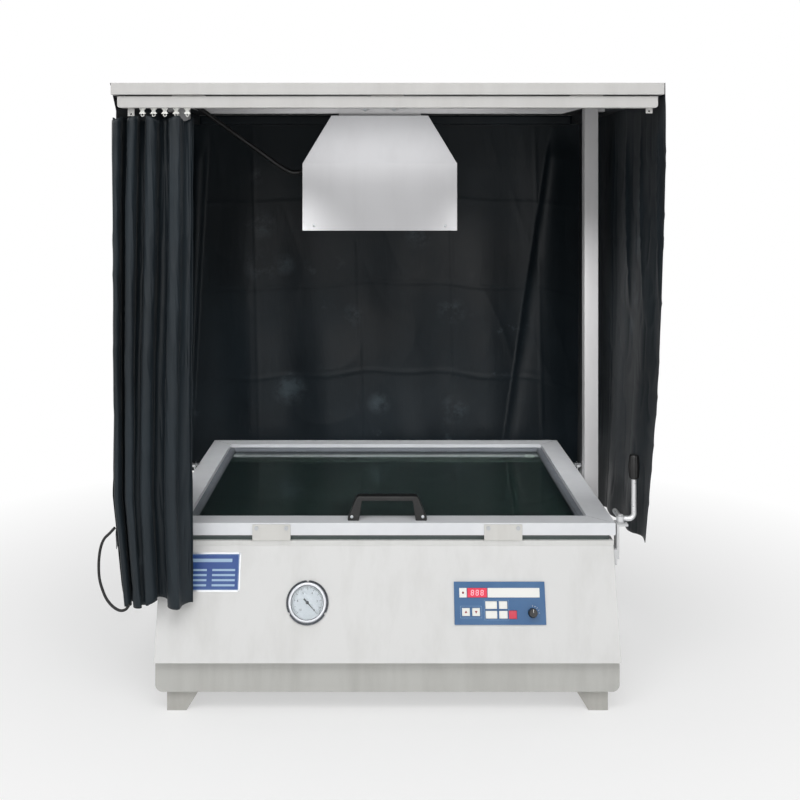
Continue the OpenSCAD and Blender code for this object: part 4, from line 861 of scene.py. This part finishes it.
def numerals(marks, size, at, material, name, body):
    """Numbers on a dial: the plain built-in letters, made a mesh and laid on the panel's plane."""
    parts = []
    for text, x, y in marks:
        font = bpy.data.curves.new("mark", "FONT")
        font.body = text
        font.size = size
        font.align_x = "CENTER"
        font.align_y = "CENTER"
        font.extrude = 0.06 * MM
        font.resolution_u = 3
        holder = bpy.data.objects.new("mark", font)
        bpy.context.scene.collection.objects.link(holder)
        shape = bpy.data.meshes.new_from_object(holder)
        points = np.empty(len(shape.vertices) * 3)
        shape.vertices.foreach_get("co", points)
        faces = [list(f.vertices) for f in shape.polygons]
        parts.append(on_panel((points.reshape(-1, 3) + [x, y, at[2]], faces), at[:2]))
        bpy.data.objects.remove(holder)
        bpy.data.curves.remove(font)
    return piece(name, parts, material, body)


def gauge():
    """Vacuum gauge: dark flange, satin ring, printed dial with ticks and numbers, tapered needle and clear pane."""
    # The flange's chrome is given a dark colour: painted shade, standing for the shadows and dark reflections on it
    steel = finish("chrome_painted_dark_as_shade", plate_steel, "#3E4044", 0.2)
    ring_steel = finish("satin_ring_steel", plate_steel, "#B4B6BA", 0.3)
    softened("gauge_case", 0.6 * MM, steel, segments=3)
    face_z = 3.55 * MM
    edge = [(35.2, 3.6), (35.2, 8.6), (36, 9.6), (38.2, 10.2), (40.6, 9.4), (41.6, 7.4), (41.6, 3.2), (35.2, 3.2)]
    rim = turned([*edge, edge[0]], 96)
    piece("gauge_bezel", [on_panel(rim, GAUGE)], ring_steel, "cabinet")
    dial = turned([(1.3, 0.02), (34.6, 0.02), (34.9, 0.3), (34.9, 0.45), (1.3, 0.45), (1.3, 0.02)], 96)
    dial = shifted(dial, [0, 0, face_z - 0.1 * MM])
    piece("gauge_dial", [on_panel(dial, GAUGE)], finish("dial_enamel", plain_film, "#D6D9DD", 0.4), "cabinet")
    count = 51
    a = DIAL_ZERO + DIAL_SWEEP * np.arange(count) / (count - 1)
    long = np.where(np.arange(count) % 5 == 0, 5.2, 2.8) * MM
    r = 31.5 * MM - long / 2
    centres = np.stack([r * np.cos(a), r * np.sin(a)], -1)
    ink = finish("dial_ink", plain_film, "#3A3D42", 0.5)
    z = face_z + 0.3 * MM
    ticks = bars(centres, a, long, np.where(np.arange(count) % 5 == 0, 0.7, 0.35) * MM, (z, z + 0.12 * MM))
    arc = DIAL_ZERO + DIAL_SWEEP * np.arange(91) / 90
    ring = np.stack([31.8 * MM * np.cos(arc), 31.8 * MM * np.sin(arc)], -1)
    circle = bars(ring, arc + np.pi / 2, 1.75 * MM, 0.4 * MM, (z, z + 0.12 * MM))
    piece("gauge_scale", [on_panel(ticks, GAUGE), on_panel(circle, GAUGE)], ink, "cabinet")
    spots = DIAL_ZERO + DIAL_SWEEP * np.arange(6) / 5
    marks = [(str(2 * k), 21.5 * MM * np.cos(b), 21.5 * MM * np.sin(b)) for k, b in enumerate(spots)]
    numerals(marks, 6.4 * MM, (GAUGE[0], GAUGE[1], z), ink, "gauge_numbers", "cabinet")
    # Needle: half width narrows in a straight line to the tip and flares at the tail
    t = np.linspace(-11, 28, 40)
    half = np.where(t < 0, 1.3 + 0.5 * np.abs(t) / 11, 1.3 - 1.15 * t / 28)
    line = np.array([np.cos(DIAL_ZERO), np.sin(DIAL_ZERO)])
    side = np.array([-np.sin(DIAL_ZERO), np.cos(DIAL_ZERO)])
    flat = t[:, None] * line
    sections = []
    for sign, height in ((-1, 0.0), (-0.6, 0.7), (0.6, 0.7), (1, 0.0)):
        sections.append(np.concatenate([flat + sign * half[:, None] * side, np.full((40, 1), 4.7 + height)], 1))
    grid = np.stack(sections, 1) * MM
    hub = turned([(1.08, 4.6), (3.4, 4.6), (3.4, 5.5), (2.6, 6.1), (1.08, 6.3), (1.08, 4.6)], 32)
    piece(
        "gauge_pointer", [on_panel((grid, capped(len(t), 4)), GAUGE), on_panel(hub, GAUGE)],
        finish("needle_enamel", plain_film, "#26282B", 0.35), "needle", ["gauge_needle"],
    )
    painted(finish("gauge_pane", float_glass, "#F7FAFB", 1.3), "gauge_lens")


def key_cap(w, h):
    """A key: a flange, straight sides, a small round-over and a dished top, as one outline carried up a profile."""
    top = (3 + 1.4) * MM
    profile = [
        (-1 * MM, -2 * MM), (-1 * MM, -0.3 * MM), (0, -0.3 * MM), (0, top - 0.7 * MM),
        (0.2 * MM, top - 0.25 * MM), (0.7 * MM, top),
    ]
    return slab(w, h, 1.8 * MM, profile, 0.35 * MM)


KEYS = {
    "arrow_up_key": (-74, -18, 16.5, 16), "arrow_down_key": (-52, -18, 16.5, 16), "program_key": (-19, -4, 25, 15.5),
    "light_key": (7, -4, 18, 15.5), "vacuum_key": (-19, -23.5, 25, 15.5), "timer_key": (7, -23.5, 18, 15.5),
    "start_key": (27.5, -23.5, 17, 16.5),
}


def arrow(up):
    """A three-cornered mark, as a slab one tenth of a millimetre high."""
    corners = np.array([[-3, -2.2], [3, -2.2], [0, 3.2]]) * MM * [1, 1 if up else -1]
    if not up:
        corners = corners[::-1]
    z = (3 + 1.4 - 0.2) * MM
    points = np.concatenate([np.c_[corners, [z] * 3], np.c_[corners, [z + 0.4 * MM] * 3]])
    return points, [[2, 1, 0], [3, 4, 5], [0, 1, 4, 3], [1, 2, 5, 4], [2, 0, 3, 5]]


def seven_bars(digits):
    """Bars of seven-segment digits: for each digit, the six sides and middle of an upright rectangle."""
    half, quarter, lean, pitch = 2.6, 2.5, 0.09, 10.5
    # Across, up, and whether the bar stands
    middles = np.array(
        [
            [0, 2 * quarter, 0], [half, quarter, 1], [half, -quarter, 1], [0, -2 * quarter, 0],
            [-half, -quarter, 1], [-half, quarter, 1], [0, 0, 0],
        ]
    )
    across, up, stands = middles.T
    centres = [np.stack([across + k * pitch + lean * up, up], -1) for k in digits]
    angles = np.where(stands > 0, np.pi / 2 - lean, 0)
    lengths = np.where(stands > 0, 4.0, 4.2)
    return np.concatenate(centres) * MM, np.tile(angles, len(digits)), np.tile(lengths, len(digits)) * MM


def controls():
    """Control plate: blue overlay with its edge, display, bare label strip, lamp square, keys and knob."""
    blue = finish("blue_overlay", screen_print, bpy.context.scene.exposure_colours.overlay_hex)
    softened("control_plate", 0.6 * MM, blue)
    painted(finish("board_laminate", plain_film, "#1F5A3C", 0.3), "timer_board")
    white = finish("white_print", plain_film, "#ECECE8", 0.45)
    # The red window is given a faint glow of its own: painted light, as the window is no lamp
    red = finish("red_window", plain_film, "#C92A45", 0.18, glow="#D8304A")
    strip_l = 113 * MM
    thin = [(0, 0), (0, 0.25 * MM), (0.15 * MM, 0.4 * MM)]
    top = PLATE_T - 0.05 * MM
    strip = shifted(slab(strip_l, 19.5 * MM, 0.8 * MM, thin), [30.7 * MM, 21.3 * MM, top])
    square = shifted(slab(16 * MM, 19.5 * MM, 0.8 * MM, thin), [-79.5 * MM, 21.3 * MM, top])
    piece("label_strip", [on_panel(strip, PLATE), on_panel(square, PLATE)], white, "cabinet")
    window = slab(42.8 * MM, 19.3 * MM, 0.8 * MM, [(0, 0), (0, 0.7 * MM), (0.3 * MM, 1.0 * MM)])
    window = shifted(window, [-48.5 * MM, 21.3 * MM, 2.5 * MM])
    piece("display_window", [on_panel(window, PLATE)], red, "cabinet")
    centres, angles, lengths = seven_bars((-1, 0, 1))
    lit = bars(centres + np.array([-48.5, 21.3]) * MM, angles, lengths, 1.3 * MM, (3.4 * MM, 3.6 * MM))
    glowing = finish("lit_digits", plain_film, "#F7C2CB", 0.3, glow="#FF9FB0")
    piece("display_digits", [on_panel(lit, PLATE)], glowing, "cabinet")
    dot = turned([(0.02, 1.1), (1.6, 0.9), (2.3, 0.2), (2.3, -0.3), (0.02, -0.3)], 24)
    dot = shifted(dot, [-79.5 * MM, 21.3 * MM, PLATE_T + 0.4 * MM])
    piece("indicator_lamp", [on_panel(dot, PLATE)], finish("dark_red_lens", plain_film, "#7E1420", 0.15), "cabinet")
    key_white = finish("key_abs", moulded_plastic, "#EDEDE8", 0.4, worn="#B9B9B4")
    key_red = finish("start_key_abs", moulded_plastic, "#CF3A50", 0.4, worn="#E08A94")
    for name, (x, y, w, h) in KEYS.items():
        place = (PLATE[0] + x * MM, PLATE[1] - y * MM)
        made = key_red if name == "start_key" else key_white
        piece(name + "_cap", [on_panel(key_cap(w * MM, h * MM), place)], made, name + "_body", [name])
        if name.startswith("arrow"):
            mark = finish("arrow_print", plain_film, "#8A2430", 0.45)
            piece(name + "_mark", [on_panel(arrow("up" in name), place)], mark, name + "_body")
    # Light outlines of the key groups: one printed line round each
    lines = []
    for x0, x1, y0, y1 in ((-86, -40, -30, -6), (-34, 19, -34, 6)):
        edges = np.array([x0, x1, y0, y1]) * MM
        lines.append(on_panel(outline_bars(*edges, 0.35 * MM, (top, top + 0.12 * MM)), PLATE))
    piece("printed_lines", lines, pale_print(), "cabinet")
    rings, segments = 18, 72
    t = np.linspace(0, 1, rings)
    a = np.linspace(0, 2 * np.pi, segments, endpoint=False)
    r = (10.5 - 1.5 * t[:, None] - 0.45 * np.abs(np.cos(9 * a))[None] ** 4 * (t[:, None] < 0.8)) * MM
    r = r * np.where(t[:, None] > 0.9, 0.9, 1)
    skirt = np.stack([r * np.cos(a), r * np.sin(a), (3.3 + 14 * t[:, None] + 0 * a) * MM], -1)
    stem = turned([(0.02, -10.6), (3, -10.6), (3, 3.6), (0.02, 3.6)], 32)
    knob = [on_panel((skirt, capped(rings, segments)), KNOB), on_panel(stem, KNOB)]
    knob_abs = finish("knob_abs", moulded_plastic, "#101113", 0.36)
    piece("selector_knob_cap", knob, knob_abs, "knob", ["selector_knob"])
    pointer = bars([[0, 4.4 * MM]], [np.pi / 2], 6.4 * MM, 1.1 * MM, (17.2 * MM, 17.6 * MM))
    piece("knob_pointer", [on_panel(pointer, KNOB)], white, "knob")
    steps = np.radians([90, 67.5, 45, 22.5, 0])
    around = np.stack([14.2 * MM * np.cos(steps), 14.2 * MM * np.sin(steps)], -1)
    marks = bars(around, steps, 2.6 * MM, 0.6 * MM, (top, top + 0.15 * MM))
    piece("knob_scale", [on_panel(marks, KNOB)], white, "cabinet")


def nameplate():
    """Bare blue plate: a thin etched sheet with a pale frame line, blank fields and four rivets."""
    w, h = 138 * MM, 82 * MM
    plate = slab(w, h, 3 * MM, [(0, 0), (0, 0.6 * MM), (0.2 * MM, 0.8 * MM)])
    brushed = finish("brushed_aluminium", plate_steel, "#C9CBCE", 0.35)
    piece("blank_plate", [on_panel(plate, NAMEPLATE)], brushed, "cabinet")
    field = shifted(slab(w - 7 * MM, h - 7 * MM, 3 * MM, [(0, 0), (0, 0.1 * MM)]), [0, 0, 0.75 * MM])
    ink = finish("etched_blue_ink", screen_print, "#123F86")
    piece("blank_plate_field", [on_panel(field, NAMEPLATE)], ink, "cabinet")
    top = 0.82 * MM
    x, y = w / 2 - 5 * MM, h / 2 - 5 * MM
    frame_lines = outline_bars(-x, x, -y, y, 0.7 * MM, (top, top + 0.15 * MM))
    rows = np.arange(4)
    fields = np.stack([np.tile([-30, 32], 4), np.repeat(4 - rows * 10.5, 2)], -1) * MM
    blanks = bars(fields, np.zeros(8), 50 * MM, 4.2 * MM, (top, top + 0.12 * MM))
    head = bars([[0, 24 * MM]], [0], 100 * MM, 7 * MM, (top, top + 0.12 * MM))
    piece("plate_blank_fields", [on_panel(p, NAMEPLATE) for p in (frame_lines, blanks, head)], pale_print(), "cabinet")
    dome = turned([(0.02, 1.2), (1.2, 1.0), (2.2, 0.3), (2.2, -0.4), (0.02, -0.4)], 20)
    studs = [
        on_panel(shifted(dome, [sx * (w / 2 - 2.8 * MM), sy * (h / 2 - 2.8 * MM), 0.8 * MM]), NAMEPLATE)
        for sx in (-1, 1)
        for sy in (-1, 1)
    ]
    piece("plate_rivets", studs, zinc(), "cabinet")


def machinery():
    """Pump, fan, hose and ballast inside the cabinet."""
    enamel = finish("machine_enamel", powder_coat, "#4A5A66", "#2E3942", rough=0.35)
    softened("vacuum_pump", 1.5 * MM, enamel)
    painted(finish("fan_polypropylene", moulded_plastic, "#D0D2D0", 0.45), "pump_fan")
    painted(hose_rubber(), "vacuum_hose")
    painted(finish("varnished_laminations", varnished_core), "lamp_ballast")


# Pieces: cloth


def cloth_piece(name, grid, flat, replaces, drawn=None):
    """A sheet of cloth from a grid of points, with its cut size as UV in metres, thickened by Solidify."""
    rows, columns = grid.shape[:2]
    mesh = bpy.data.meshes.new(name)
    mesh.from_pydata(grid.reshape(-1, 3).tolist(), [], quads(rows, columns).tolist())
    u, v = np.meshgrid(np.linspace(0, flat[0], rows), np.linspace(0, flat[1], columns), indexing="ij")
    layer = mesh.uv_layers.new(name="UVMap")
    corner = np.empty(len(mesh.loops), int)
    mesh.loops.foreach_get("vertex_index", corner)
    layer.data.foreach_set("uv", np.stack([u, v], -1).reshape(-1, 2)[corner].ravel())
    shaded(mesh, cloth())
    thing = linked(name, mesh)
    wall = thing.modifiers.new("Cloth thickness", "SOLIDIFY")
    wall.thickness = 1 * MM
    wall.offset = 0
    wall.use_even_offset = False
    if drawn:
        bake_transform(thing)
    else:
        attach(thing, "cabinet")
    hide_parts(*replaces)


def cut_size(grid):
    """A hanging grid's cut: its mean arc across by its mean arc down."""
    across = np.linalg.norm(np.diff(grid, axis=0), axis=2).sum(0).mean()
    down = np.linalg.norm(np.diff(grid, axis=1), axis=2).sum(1).mean()
    return float(across), float(down)


def pushed(grid, amount, outward):
    """A grid with its points moved along the surface's normals by amount; the normals point to the given side."""
    du, dv = np.gradient(grid, axis=0), np.gradient(grid, axis=1)
    n = np.cross(du, dv)
    n /= np.linalg.norm(n, axis=2)[..., None] + 1e-12
    n *= np.where((n @ np.asarray(outward, float)) < 0, -1, 1)[..., None]
    return grid + n * amount[..., None]


GATHER_FOLDS = 4.25
GATHER_W = 172


def front_curtain():
    """Gathered front curtain: a pleated line in plan, drawn tight at the gliders, that settles towards its hem."""
    u, v = np.meshgrid(np.linspace(0, 1, 410), np.linspace(0, 1, 116), indexing="ij")
    left = -TOP_W / 2 / MM - 9 + np.where(v < 0.78, 4 * np.sin(np.pi * v), 2.5 + 110 * (v - 0.78))
    lean = np.radians(100 + 240 * np.minimum(1, 2 * v) * (1 - u)) * np.sin(np.pi * u)
    ripple = np.radians(24) * np.sin(np.radians(300 * v + 260 * u))
    wave = np.radians(64) + 2 * np.pi * GATHER_FOLDS * u + lean + ripple
    deep = (26 - 9 * v + 4 * np.sin(np.radians(230 * u + 150 * v))) * np.sin(wave) + 13 * v * np.sin(
        np.radians(760 * u)
    )
    wrap = 8 * np.clip(1 - 14 * u, 0, None) ** 2
    top = TRACK_Z / MM - 17.6
    hem = 236 + 14 * np.exp(-(((u - 0.5) / 0.1) ** 2))
    x = left + (GATHER_W - 5 - TOP_W / 2 / MM - left) * u * (1 - 0.05 * np.sin(np.pi * v) * (1 - u))
    x -= 4.5 * np.sin(2 * wave) * np.minimum(1, 8 * np.minimum(u, 1 - u))
    y = TRACK_Y / MM + 4 + deep + wrap
    droop = 9 * np.sin(np.pi * 6 * u) ** 2 * np.clip(1 - v / 0.05, 0, 1)
    z = top - v * (top - hem) - droop
    grid = np.stack([x, y, z], -1) * MM
    pull = 1.6 * ridges(u, v, (46, 5), 3) * (1 - v) ** 2 + 1.3 * ridges(u, v, (26, 14), 5) - 1.0
    turn_up = 1.2 * (v > 0.975) + 0.8 * fold_line(v - 0.972, 0.004)
    grid = pushed(grid, (pull + turn_up) * MM, (0, -1, 0))
    ends = [(edge, TRACK_Y, 0.8) for edge in (-TOP_W / 2 + 22 * MM, -TOP_W / 2 + (GATHER_W - 5) * MM)]
    cloth_piece(
        "front_curtain_cloth", grid, cut_size(grid), ["front_curtain"],
        drawn=("glider_5_body", *ends),
    )
    # The binding tape has come off the hem's outer corner and hangs in a loop
    loop = [
        (-583, 404), (-594, 392), (-605, 381), (-612, 366), (-616, 346), (-617.5, 322), (-616, 296), (-610, 273),
        (-601, 252), (-588, 236), (-573, 227), (-560, 229), (-551, 241),
    ]
    line = curve(np.array([(x, -484, z) for x, z in loop]) * MM, 6)
    tape = finish("hem_tape", moulded_plastic, "#0D0D0E", 0.6, 1.5 * MM, 0.04 * MM)
    cord = piece("hem_tape_loop", [tube(line, 3 * MM, 14)], tape, "cabinet")


def side_cloth(sign, lean, tucked, seed):
    """Side curtain: slow folds below the rail that lean inwards, with storage creases pressed across it."""
    rows = np.concatenate([np.linspace(0, 0.055, 12, endpoint=False), np.linspace(0.055, 1, 150)])
    u, v = np.meshgrid(np.linspace(0, 1, 240), rows, indexing="ij")
    folds = np.sin(np.radians(360 * 4.5 * u) + np.radians(40) * np.sin(np.radians(200 * v + 90 * u)))
    fold = (2 + 2.5 * v) * (1 + folds) * np.minimum(1, 6 * v)
    front = 58 * np.minimum(1, v / 0.055) if tucked else 100 * v**2
    half, deep, top = TOP_W / 2 / MM, TOP_D / MM, TOP_Z / MM
    x = half + 1.2 + fold - lean * v**1.4 * (1 - 0.35 * u)
    y = -deep / 2 + 1 + front * (1 - u) + u * (deep - 2)
    low_rear = 30 * np.clip((u - 0.42) / 0.2, 0, 1)
    z = top - v * (top - 346 + 44 * np.minimum(1, 2.4 * u) + low_rear - 3 * np.sin(np.radians(360 * 4.5 * u)))
    grid = np.stack([x, y, z], -1) * MM
    calm = np.minimum(1, 8 * v)
    crease = 1.0 * (fold_line(v - 0.33, 0.006) + fold_line(v - 0.67, 0.006)) + 1.6 * fold_line(u - 0.5, 0.004)
    fine = 1.6 * ridges(u, v, (9, 16), seed) + 1.2 * ridges(u, v, (22, 9), seed + 1)
    # Pulls fan out from where the rail holds it
    fan = 9 * np.sin(np.pi * np.clip(v / 0.5, 0, 1)) * ridges(u + 0.12 * v, 0.3 * v, (7, 2), seed + 2)
    grid = pushed(grid, calm * (crease + fine - fan) * MM, (1, 0, 0))
    return grid * [sign, 1, 1]


def side_curtains():
    """Left and right side curtains over the top frame's rails."""
    right = side_cloth(1, 22, False, 11)
    left = side_cloth(-1, 4, True, 21)
    cloth_piece("right_curtain_cloth", right, cut_size(right), ["side_curtains"])
    cloth_piece("left_curtain_cloth", left, cut_size(left), ["side_curtains"])


def rear_curtain():
    """Rear curtain: slow folds that die out at the corners, storage creases, pulls that slant down from the rail
    and, at each end, a fuller fold that comes forward."""
    u, v = np.meshgrid(np.linspace(0, 1, 260), np.linspace(0, 1, 184), indexing="ij")
    calm = np.clip(np.minimum(9 * u - 0.4, 8.6 - 9 * u), 0, 1)
    folds = np.sin(np.radians(360 * 5 * u) + np.radians(30) * np.sin(np.radians(220 * v + 60 * u))) - 1
    fold = (1 + 7 * v) * folds * np.minimum(1, 6 * v) * calm
    half, top = TOP_D / 2 / MM, TOP_Z / MM
    x = (u - 0.5) * (TOP_W / MM + 16)
    tails = 62 * np.exp(-((u / 0.07) ** 2)) + 62 * np.exp(-(((1 - u) / 0.07) ** 2))
    z = top - v * (top - 335 + tails - 5 * np.sin(np.radians(360 * 5 * u)))
    grid = np.stack([x, half + 1.4 + fold, z], -1) * MM
    across = sum(fold_line(u - k - 0.02 * v, 0.004) for k in (0.16, 0.42, 0.66, 0.88))
    down = sum(fold_line(v - k - 0.01 * np.sin(9 * u), 0.005) for k in (0.25, 0.505, 0.77))
    fine = 1.6 * ridges(u + 0.25 * v, v, (9, 6), 31) * v + 1.0 * ridges(u - 0.3 * v, 0.6 * v, (14, 5), 32)
    soft = 8.0 * lattice(u, v, (5, 4), 33) * np.minimum(1, 3 * v) * calm
    right = np.clip((u - 0.925 + 0.13 * v) / (0.075 + 0.13 * v), 0, 1)
    left = np.clip(1 - u / (0.05 * (1 - v) + 0.002), 0, 1)
    end = (20 + 22 * v) * (1 - right) * (1 - np.exp(-right / 0.12)) + 26 * left * (1 - left) * 2
    end = end * np.minimum(1, 9 * v)
    lift = 1.4 * across + 1.5 * down + fine + soft + end + 1.5
    grid = pushed(grid, np.minimum(1, 8 * v) * lift * MM, (0, -1, 0))
    cloth_piece("rear_curtain_cloth", grid, cut_size(grid), ["rear_curtain"])


def rail_wraps():
    """Strips of cloth turned in round the top frame's side and rear rails: down the inner face, out under the rail."""
    tube_w, gap = 25, 0.8
    drop = np.concatenate([np.linspace(0, 1, 6), np.linspace(1, 2, 6)[1:]])
    u, t = np.meshgrid(np.linspace(0, 1, 160), drop, indexing="ij")
    inward = tube_w + gap - (tube_w + gap + 0.6) * np.clip(t - 1, 0, 1)
    z = TOP_Z / MM - 1 - (tube_w - 0.2) * np.minimum(t, 1) - 0.8 * (1 + lattice(u, t / 2, (16, 3), 35)) * (t > 0.5)
    half_w, half_d = TOP_W / 2 / MM, TOP_D / 2 / MM
    rear = np.stack([(u - 0.5) * 2 * (half_w - tube_w - 1), half_d - inward, z], -1) * MM
    side = np.stack([half_w - inward, -half_d + tube_w + 1 + u * (2 * half_d - tube_w - 1), z], -1) * MM
    for name, grid, node in (
        ("rear_rail_cloth", rear, "rear_curtain"), ("right_rail_cloth", side, "side_curtains"),
        ("left_rail_cloth", side * [-1, 1, 1], "side_curtains"),
    ):
        cloth_piece(name, grid, cut_size(grid), [node])


def top_cloth():
    """Cloth over the top: raised over the beam and sinking a little in each bay."""
    u, v = np.meshgrid(np.linspace(0, 1, 200), np.linspace(0, 1, 180), indexing="ij")
    x = (u - 0.5) * (TOP_W / MM - 4)
    y = -TOP_D / 2 / MM + 20 + v * (TOP_D / MM - 22)
    edge = np.clip((TOP_D / 2 / MM - 46 - np.abs(y)) / 160, 0, 1)
    side = np.clip((TOP_W / 2 / MM - 64 - np.abs(x)) / 100, 0, 1)
    near = np.minimum(1, 60 / np.maximum(1, np.abs(y)))
    rise = (BEAM_TOP - TOP_Z) / MM * near * edge - 4 * np.sin(np.pi * edge) * side * (1 - near)
    wrinkle = 1.1 * ridges(u, v, (18, 20), 41) + 1.3 * fold_line(u - 0.5, 0.004)
    grid = np.stack([x, y, TOP_Z / MM + 0.9 + rise + wrinkle * np.minimum(1, 8 * v)], -1) * MM
    cloth_piece("top_cover_cloth", grid, cut_size(grid), ["top_cover"])


# Stage


def shown_share(tree):
    """One for rays from the camera and for those that glossy and clear surfaces send on, and nought for light."""
    path = add(tree, "LightPath").outputs
    sent_on = maths(tree, "MAXIMUM", path["Is Glossy Ray"], path["Is Transmission Ray"])
    return maths(tree, "MAXIMUM", path["Is Camera Ray"], sent_on)


def stage_floor():
    """A pale floor that fades to white away from the object and keeps the object's shadow."""
    m, t, s, at = begun("pale_floor", "#F4F4F4", 0.9)
    mesh = bpy.data.meshes.new("floor")
    reach, n = 9.0, 40
    g = np.linspace(-reach, reach, n)
    x, y = np.meshgrid(g, g, indexing="ij")
    mesh.from_pydata(np.stack([x, y, 0 * x], -1).reshape(-1, 3).tolist(), [], quads(n, n).tolist())
    mesh.materials.append(m)
    linked("floor", mesh)
    far = add(t, "VectorMath", {0: at}, operation="LENGTH").outputs["Value"]
    fade = ramp(t, far, 0.6, 1.8, 0.5, 1)
    white = add(t, "Emission", {"Color": (1, 1, 1, 1), "Strength": 1.0})
    mix = add(t, "MixShader", {0: maths(t, "MULTIPLY", fade, shown_share(t))})
    t.links.new(s.outputs[0], mix.inputs[1])
    t.links.new(white.outputs[0], mix.inputs[2])
    t.links.new(mix.outputs[0], t.nodes["Material Output"].inputs["Surface"])


def stage_lights():
    """A white world seen by the camera, soft lamps in front and above, and small ones inside the canopy."""
    world = bpy.data.worlds.new("plain_world")
    bpy.context.scene.world = world
    world.use_nodes = True
    t = world.node_tree
    t.nodes.clear()
    lit = add(t, "Background", {"Color": (1, 1, 1, 1), "Strength": 0.32})
    shown = add(t, "Background", {"Color": (1, 1, 1, 1), "Strength": 1.0})
    mix = add(t, "MixShader", {0: shown_share(t)})
    t.links.new(lit.outputs[0], mix.inputs[1])
    t.links.new(shown.outputs[0], mix.inputs[2])
    t.links.new(mix.outputs[0], add(t, "OutputWorld").inputs["Surface"])
    low_aim, high_aim = (0, -0.1, 0.6), (HOOD_X, -0.09, 1.22)
    for name, place, aim, size, power in (
        ("front_lamp", (0, -3.9, 0.95), low_aim, (3.4, 0.6), 22),
        ("sky_lamp", (-0.2, -2.3, 2.8), low_aim, (2.6, 1.2), 37),
        ("key_lamp", (-2.4, -3.3, 2.5), low_aim, (2.4, 2.4), 19),
        ("fill_lamp", (2.4, -3.3, 2.3), low_aim, (2.4, 2.4), 17),
        ("top_lamp", (0.2, -0.6, 3.4), low_aim, (2.4, 2.4), 8),
        ("canopy_lamp", (HOOD_X, -0.27, 1.285), high_aim, (0.5, 0.03), 0.56),
        ("left_inside_lamp", (-0.33, -0.43, 1.25), (-0.33, 0.14, 0.57), (0.2, 0.04), 0.65),
        ("right_inside_lamp", (0.33, -0.43, 1.25), (0.33, 0.14, 0.57), (0.2, 0.04), 0.65),
    ):
        light = bpy.data.lights.new(name, "AREA")
        light.shape = "RECTANGLE"
        light.size, light.size_y = size
        light.energy = power
        lamp = linked(name, light)
        lamp.location = place
        lamp.rotation_euler = (Vector(aim) - Vector(place)).to_track_quat("-Z", "Y").to_euler()
        # The strips under the top frame stand for light that bounces in the canopy: they aren't seen themselves
        lamp.visible_camera = lamp.visible_glossy = not name.endswith(("canopy_lamp", "inside_lamp"))
        if name.endswith("inside_lamp"):
            light.spread = math.radians(60)


def stage_camera():
    """The camera: level, 2.8 m in front of the middle and 1.12 m high, shifted to the photograph's framing."""
    data = bpy.data.cameras.new("photo_camera")
    data.sensor_width = 36
    data.lens = data.sensor_width * FOCAL_PX / PHOTO_PX
    data.shift_x = 19 / PHOTO_PX
    data.shift_y = -208 / PHOTO_PX
    camera = linked("photo_camera", data)
    camera.location = (-14 * MM, -2.825, 1.1215)
    camera.rotation_euler = (math.pi / 2, 0, 0)
    bpy.context.scene.camera = camera


# The add-on


class ExposureCloth(bpy.types.PropertyGroup):
    """What a user would change on the cloth."""

    thread_mm: bpy.props.FloatProperty(
        name="Thread spacing", description="Distance between the cloth's threads, in millimetres",
        default=0.8, min=0.2, max=3.0,
    )


class ExposureColours(bpy.types.PropertyGroup):
    """What a user would change on the colours."""

    overlay_hex: bpy.props.StringProperty(
        name="Overlay colour", description="Colour of the control plate's printed overlay", default="#1E5586"
    )


def operator(key, label, words, steps):
    """An operator class that runs its steps and finishes, or raises what went wrong."""

    def execute(self, context):
        for step in steps:
            step()
        return {"FINISHED"}

    return type(
        "EXPOSURE_OT_" + key, (bpy.types.Operator,),
        {"bl_idname": "exposure." + key, "bl_label": label, "__doc__": words, "execute": execute},
    )


STEPS = [
    operator("stage", "Stage", "Floor, lamps and camera.", [stage_camera, stage_floor, stage_lights]),
    operator("lamp_lead", "Lamp cable", "The lamp's cable.", [lamp_lead]),
    operator("cabinet", "Cabinet", "Sheet-metal cabinet, tray and feet.", [cabinet]),
    operator("blanket", "Vacuum blanket", "Rubber blanket, strip and port.", [blanket]),
    operator("glass_frame", "Glass frame", "Rails, beads, pane, handle and plates.", [glass_frame]),
    operator("hardware", "Hardware", "Hinges, brackets, gas springs and hold-downs.", [hardware, hold_downs]),
    operator("gantry", "Gantry", "Posts, beam, top frame and curtain track.", [gantry, curtain_rail]),
    operator("lamp_head", "Lamp head", "Hood, bracket, reflector and lamp.", [lamp_head]),
    operator("controls", "Controls", "Gauge, control plate and bare plate.", [gauge, controls, nameplate]),
    operator("machinery", "Machinery", "Pump, fan, hose and ballast.", [machinery]),
    operator(
        "cloth", "Curtains", "Front, side and rear curtains and the top cloth.",
        [front_curtain, side_curtains, rear_curtain, rail_wraps, top_cloth],
    ),
]


class EXPOSURE_PT_panel(bpy.types.Panel):
    """Lists the pieces in the sidebar."""

    bl_label = "Exposure Unit"
    bl_idname = "EXPOSURE_PT_panel"
    bl_space_type = "VIEW_3D"
    bl_region_type = "UI"
    bl_category = "Exposure Unit"

    def draw(self, context):
        self.layout.prop(context.scene.exposure_cloth, "thread_mm")
        self.layout.prop(context.scene.exposure_colours, "overlay_hex")
        for step in STEPS:
            self.layout.operator(step.bl_idname)


CLASSES = [ExposureCloth, ExposureColours, *STEPS, EXPOSURE_PT_panel]


def register():
    """Registers the classes and the scene's settings."""
    for one in CLASSES:
        bpy.utils.register_class(one)
    bpy.types.Scene.exposure_cloth = bpy.props.PointerProperty(type=ExposureCloth)
    bpy.types.Scene.exposure_colours = bpy.props.PointerProperty(type=ExposureColours)


def unregister():
    """Removes the settings and the classes."""
    del bpy.types.Scene.exposure_colours
    del bpy.types.Scene.exposure_cloth
    for one in reversed(CLASSES):
        bpy.utils.unregister_class(one)


def main():
    """Makes every piece in order, and writes the CAD's box and the finished one."""
    register()
    bpy.context.scene.view_settings.view_transform = "Standard"
    for step in STEPS:
        getattr(bpy.ops.exposure, step.bl_idname.split(".")[1])()


if __name__ == "__main__":
    main()
